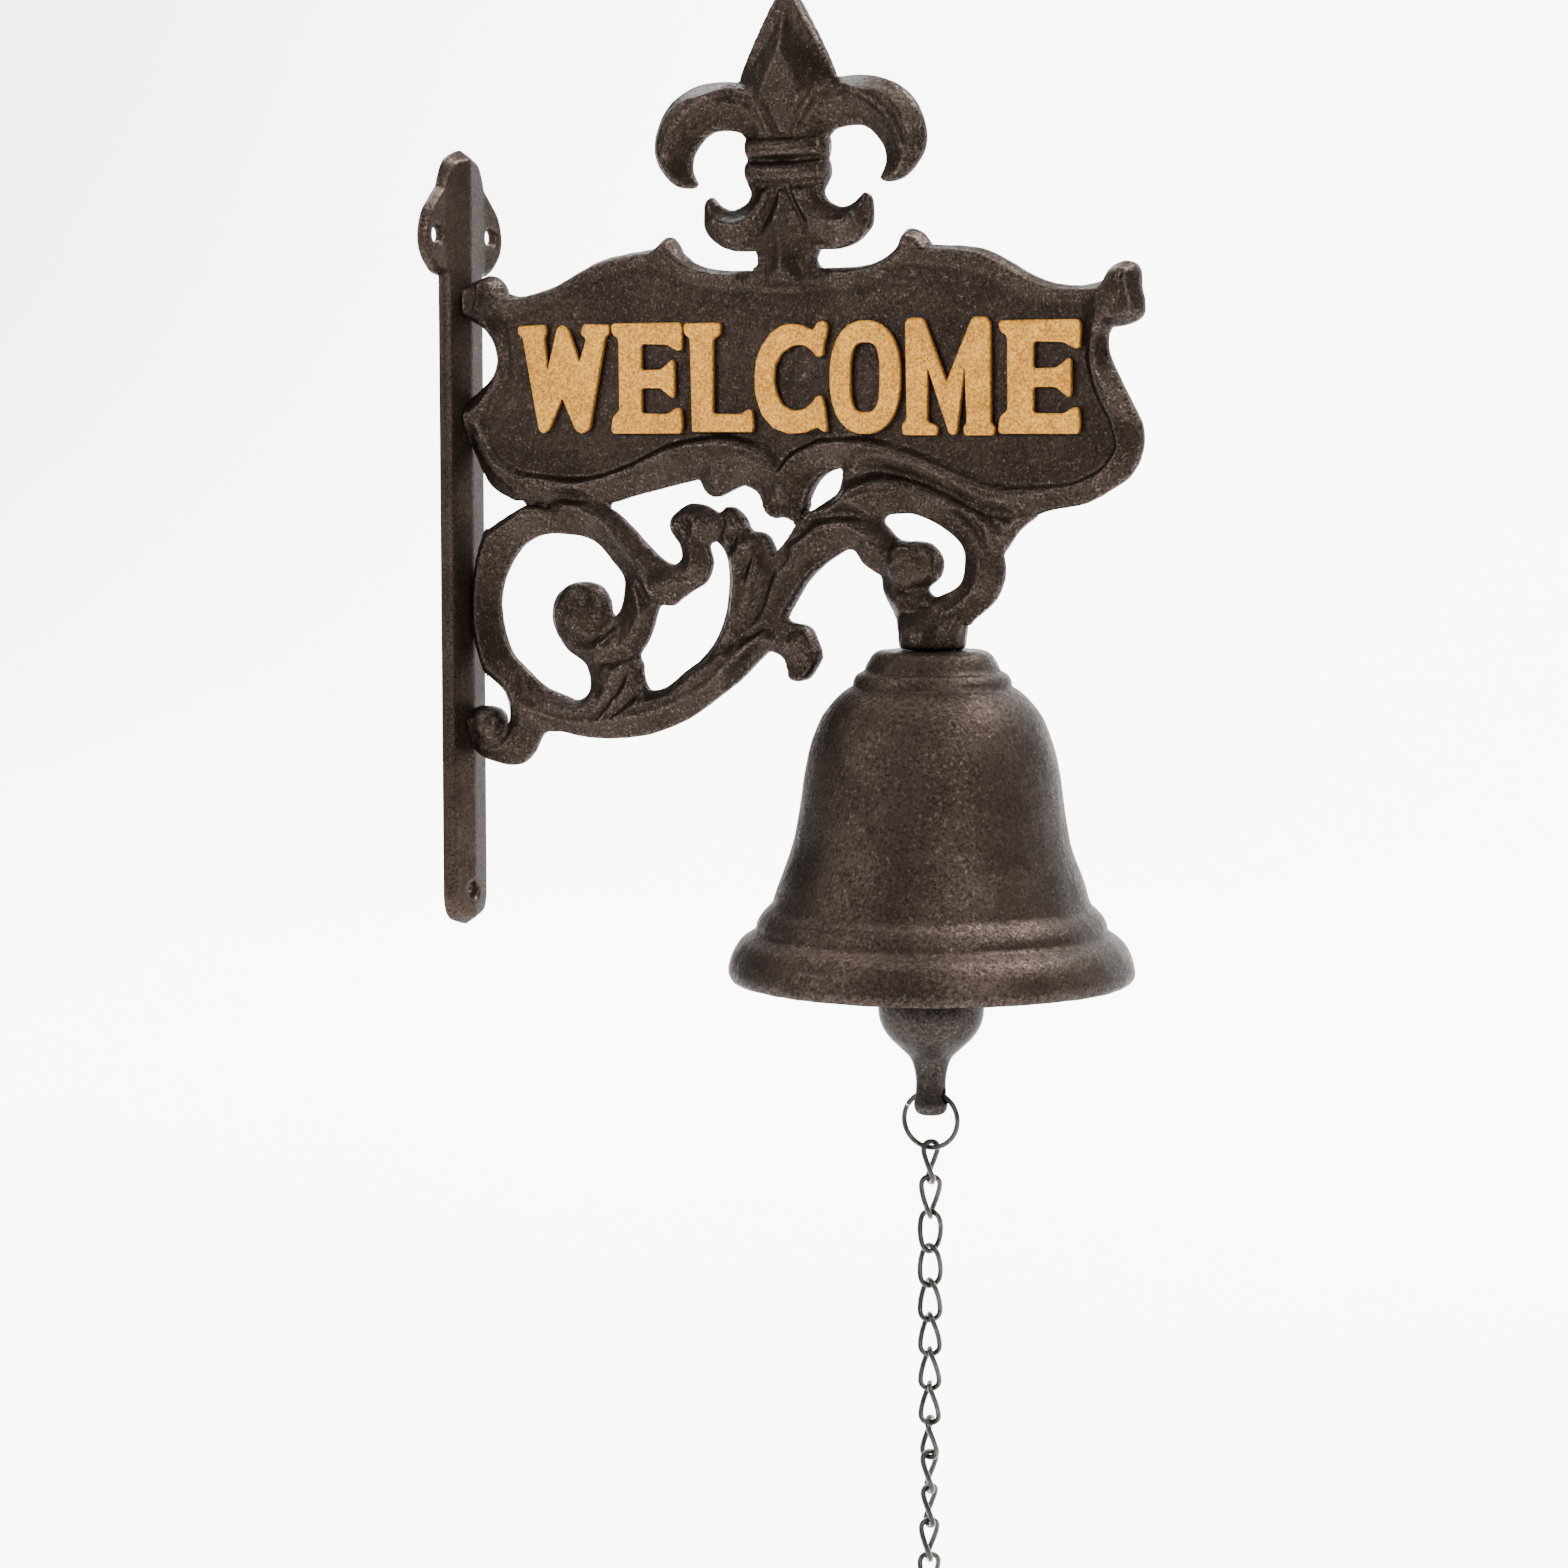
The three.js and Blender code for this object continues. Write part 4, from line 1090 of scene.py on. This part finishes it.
def hook_foot(material):
    """The hook's foot: a flare that grows from the flat hook into a round boss over the bell."""
    low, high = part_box("hook_boss")
    x, y = axis_of("hook_boss")
    levels = (
        # height above the boss's underside, half width along x and along y, and shift along x, in mm
        (0.0, 7.4, 7.4, 0), (0.5, 8.1, 8.1, 0), (1.6, 8.3, 8.3, 0), (4.0, 8.6, 7.9, 0), (5.6, 9.1, 6.9, 0),
        (7.2, 9.7, 5.7, 0.1), (8.6, 9.8, 4.5, 0.2), (9.8, 9.0, 3.4, 0.3), (10.8, 7.2, 2.2, 0.5),
        (11.4, 4.6, 1.0, 0.6),
    )
    segments = 96
    drawn_half = 8.3  # the widest level that meets the boss's own outline
    scale = (high.x - low.x) / 2 / (drawn_half * MM)
    levels = np.array(levels)
    fine = np.linspace(0, levels[-1, 0], 40)
    half_x, half_y, shift = (np.interp(fine, levels[:, 0], levels[:, i]) for i in (1, 2, 3))
    points = []
    for h, a, b, s in zip(fine, half_x, half_y, shift):
        for i in range(segments):
            turn = 2 * math.pi * i / segments
            flute = 1 + 0.012 * math.sin(17 * turn) * min(1, h / 4)
            points.append((x + (s + a * scale * math.cos(turn) * flute) * MM,
                           y + b * scale * math.sin(turn) * flute * MM, low.z + h * MM))
    faces = tube_faces(len(fine), segments, closed=False)
    piece = mesh_of("hook_foot", points, faces, material, 45)
    roughen(piece, 0.12 * MM, 2.2 * MM, 2)
    return settle(piece, "bracket", "cast_iron", "hook_boss")


def bolt(material):
    """An eye bolt: a threaded shank, and wire bent round into an eye."""
    low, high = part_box("bell_bolt")
    x, y = axis_of("bell_bolt")
    eye_radius = 5 * MM
    wire = 2 * MM
    shank = 3 * MM
    eye_z = low.z + eye_radius + wire
    pitch = 1.0 * MM
    top = high.z
    foot = eye_z + eye_radius
    profile = [(0, top), (shank - 0.6 * MM, top), (shank - 0.1 * MM, top - 0.6 * MM)]
    z = top - 0.6 * MM
    while z > foot + 2.5 * MM:
        profile += [(shank - 0.35 * MM, z - 0.35 * pitch), (shank - 0.35 * MM, z - 0.5 * pitch),
                    (shank, z - 0.9 * pitch), (shank, z - pitch)]
        z -= pitch
    profile += [(shank - 0.2 * MM, z - 0.6 * MM), (shank - 0.5 * MM, foot + 0.6 * MM), (wire, foot),
                (0, foot - wire / 2)]
    points, faces = turned(profile, (x, y), 48)
    across, up = arc(eye_radius, 96, 348, 64)
    more, more_faces = swept(upright((x, y), across, eye_z + up, EYE_YAW), wire, 20, closed=False)
    shift = len(points)
    faces = faces + [[shift + i for i in face] for face in more_faces]
    piece = mesh_of("eye_bolt", list(points) + [tuple(p) for p in more], faces, material, 40)
    return settle(piece, "bracket", "plain_steel", "bell_bolt")


def washer(material):
    low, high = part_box("crown_washer")
    outer = (high.x - low.x) / 2
    bore = 3.2 * MM
    round_off = 0.25 * MM
    profile = [(bore, low.z + round_off), (bore + round_off, low.z), (outer - round_off, low.z),
               (outer, low.z + round_off), (outer, high.z - round_off), (outer - round_off, high.z),
               (bore + round_off, high.z), (bore, high.z - round_off)]
    points, faces = turned(profile, axis_of("crown_washer"), 72, closed=True)
    piece = mesh_of("crown_washer_plated", points, faces, material, 30)
    return settle(piece, "bracket", "plain_steel", "crown_washer")


def nut(material):
    """A hexagon nut whose corners are chamfered above and below."""
    low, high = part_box("crown_nut")
    x, y = axis_of("crown_nut")
    flats = 5.0 * MM
    corner = flats / math.cos(math.pi / 6)
    bore = 3.1 * MM
    outer_chamfer = flats + 0.55 * (corner - flats)
    inner_chamfer = flats + 0.75 * (corner - flats)
    segments = 96
    levels = ((low.z, outer_chamfer), (low.z + 0.25 * MM, inner_chamfer), (low.z + 0.7 * MM, corner),
              (high.z - 0.7 * MM, corner), (high.z - 0.25 * MM, inner_chamfer), (high.z, outer_chamfer),
              (high.z - 0.3 * MM, bore), (low.z + 0.3 * MM, bore))
    points = []
    for z, limit in levels:
        for i in range(segments):
            turn = 2 * math.pi * i / segments
            hexagon = flats / math.cos((turn + math.pi / 6) % (math.pi / 3) - math.pi / 6)
            r = min(hexagon, limit)
            points.append((x + r * math.cos(turn + HANG_YAW), y + r * math.sin(turn + HANG_YAW), z))
    faces = tube_faces(len(levels), segments, closed=True)
    piece = mesh_of("crown_nut_plated", points, faces, material, 25)
    return settle(piece, "bracket", "plain_steel", "crown_nut")


# ---------------------------------------------------------------- what hangs in the bell
LINK_YAWS = (55, 31, -9, -29, -44, -54, -61, -67, -87, -122, -117, -134, -150, -165, -180, -195)


def oval(half_width, top, bottom, count, sharpness):
    """Points of a long ring that stands on end: two straight sides joined by half circles."""
    turns = np.linspace(0, 2 * math.pi, count, endpoint=False)
    half_side = (top - bottom) / 2 - half_width
    z = (top + bottom) / 2 + half_width * np.sin(turns) + half_side * np.tanh(sharpness * np.sin(turns))
    return half_width * np.cos(turns), z


def hanger(material):
    low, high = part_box("hanger_link")
    wire = 1.2 * MM
    across, z = oval(4.7 * MM, high.z - wire, low.z + wire, 96, 6)
    points, faces = swept(upright(axis_of("hanger_link"), across, z, HANG_YAW), wire, 20)
    piece = mesh_of("hanger_wire", points, faces, material, 60)
    return settle(piece, "hanger", "black_steel", "hanger_link")


def cut(piece, cutter, operation):
    """Applies a boolean to a piece's mesh and removes the cutter."""
    modifier = piece.modifiers.new("cut", "BOOLEAN")
    modifier.object = cutter
    modifier.operation = operation
    modifier.solver = "EXACT"
    made = evaluated(piece)
    piece.modifiers.clear()
    piece.data = made
    bpy.data.objects.remove(cutter)


def clapper(material):
    """A cast clapper: an eye, a tapering stem, a round bob and a thick tail with a cross hole."""
    low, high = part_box("clapper")
    x, y = axis_of("tail_ring")
    eye_radius = 4 * MM
    eye_wire = 1.6 * MM
    eye_z = high.z - eye_radius - eye_wire
    bob = (high.x - low.x) / 2
    bottom = low.z
    bob_z = bottom + 27.3 * MM
    neck = (eye_z - eye_radius) / MM
    profile = np.array([
        [0, neck + 0.6], [2.2, neck + 0.2], [2.6, -66.5], [2.7, -78], [3.0, -90], [3.5, -94.6],
        [4.6, -97.4], [7.2, -100], [10.2, -103.2], [12.2, -107], [bob / MM, bob_z / MM], [12.5, -116],
        [10.6, -119.4], [7.8, -122.2], [5.2, -124.8], [4.1, -127.8], [3.7, -131], [3.9, -134.4],
        [4.2, -136.8], [3.4, -138.6], [1.6, bottom / MM], [0, bottom / MM],
    ])
    line = curve_through(profile, 0.7)
    line[:, 0] = np.clip(line[:, 0], 0, bob / MM)
    line[0, 0] = line[-1, 0] = 0
    points, faces = turned(line * MM, (x, y), 96)
    piece = mesh_of("clapper_casting", points, faces, material, 60)
    across, up = arc(eye_radius, 0, 360, 56, endpoint=False)
    points, faces = swept(upright((x, y), across, eye_z + up, EYE_YAW), eye_wire, 18)
    cut(piece, mesh_of("eye", points, faces, material, 60), "UNION")
    hole_z = bottom + 4.9 * MM
    along = np.linspace(-8, 8, 5) * MM
    bore = upright((x, y), along, np.full(len(along), hole_z), HANG_YAW)
    points, faces = swept(bore, 2.0 * MM, 28, closed=False)
    cut(piece, mesh_of("bore", points, faces, material, 60), "DIFFERENCE")
    soften(piece.data, 45)
    if "wear_and_glint" in piece.data.attributes:
        piece.data.attributes.remove(piece.data.attributes["wear_and_glint"])
    mark_wear_and_glint(piece.data)
    return settle(piece, "clapper", "clapper_iron", "clapper")


def tail_ring(material):
    """A jump ring: one turn of wire whose cut ends almost meet."""
    low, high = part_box("tail_ring")
    wire = 0.66 * MM
    radius = (high.z - low.z) / 2 - wire
    centre = (high.z + low.z) / 2
    across, up = arc(radius, 151.5, 357, 120)
    path = upright(axis_of("tail_ring"), across, centre + up, HANG_YAW)
    points, faces = swept(path, wire, 16, closed=False)
    return settle(mesh_of("jump_ring", points, faces, material, 60), "ring", "black_steel", "tail_ring")


def chain(material):
    """Links of wire, each an oval twisted a quarter turn, in a chain that turns unevenly as it hangs."""
    wire = 0.68 * MM
    half_width = 2.55 * MM
    for i, degrees in enumerate(LINK_YAWS):
        node = f"link_{i + 1:02d}"
        low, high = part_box(node)
        yaw = math.radians(degrees)
        across, z = oval(half_width, high.z - wire, low.z + wire, 84, 4)
        middle = (high.z + low.z) / 2
        length = high.z - low.z - 2 * wire
        twist = yaw + math.pi / 4 * (1 - 2 * (z - middle) / length)
        points, faces = swept(upright(axis_of("tail_ring"), across, z, twist), wire, 14)
        settle(mesh_of("chain_" + node, points, faces, material, 60), node, "black_steel", node)


# ---------------------------------------------------------------- floor, light
def studio():
    """A pale floor that sweeps up behind the object, a white sky and soft lights."""
    low = CAD_BOX[0][2] - 0.06
    profile = [(-4, low)]
    radius = 1.6
    back = 3.4
    for turn in np.linspace(0, math.pi / 2, 24):
        profile.append((back - radius + radius * math.sin(turn), low + radius * (1 - math.cos(turn))))
    profile.append((back, 5))
    points = []
    for y, z in profile:
        points += [(-6, y, z), (6, y, z)]
    faces = [(2 * i, 2 * i + 1, 2 * i + 3, 2 * i + 2) for i in range(len(profile) - 1)]
    floor = mesh_of("floor", points, faces, floor_paint(), 60)

    world = bpy.data.worlds.new("sky")
    world.use_nodes = True
    sky = world.node_tree.nodes["Background"]
    sky.inputs["Color"].default_value = (1, 1, 1, 1)
    sky.inputs["Strength"].default_value = 0.4
    bpy.context.scene.world = world

    sign = Vector((0.12, 0, -0.03))
    backdrop = Vector((-0.6, 2.4, -0.1))
    for name, place, aim, size, power in (
        ("left_window", (-0.62, -0.95, 0.5), sign, 0.5, 22),
        ("right_window", (1.0, -0.7, 0.5), sign, 0.5, 22),
        ("top_window", (0.1, -0.15, 1.1), sign, 0.6, 12),
        ("backdrop_left", (-1.6, 0.9, 2.4), backdrop, 1.6, 560),
        ("backdrop_right", (1.2, 0.9, 2.4), backdrop, 1.6, 560),
    ):
        data = bpy.data.lights.new(name, "AREA")
        data.shape = "SQUARE"
        data.size = size
        data.energy = power
        light = add_object(name, data)
        light.location = place
        light.rotation_euler = (aim - Vector(place)).to_track_quat("-Z", "Y").to_euler()


# ---------------------------------------------------------------- the whole object
add_camera()
bracket_look = cast_iron("bracket_iron")
bell_look = cast_iron("bell_iron")
plate_look = cast_iron("plate_iron")
gold_look = gold_paint()
wire_look = wire_steel()
plated_look = plated_steel()
casting_piece(bracket_look)
wall_plate(plate_look)
for node in sorted(NODES):
    if node.startswith("letter_"):
        letter(node, gold_look)
bell(bell_look)
hook_foot(bracket_look)
bolt(plated_look)
washer(plated_look)
nut(plated_look)
hanger(wire_look)
clapper(cast_iron("clapper_iron"))
tail_ring(wire_look)
chain(wire_look)
studio()
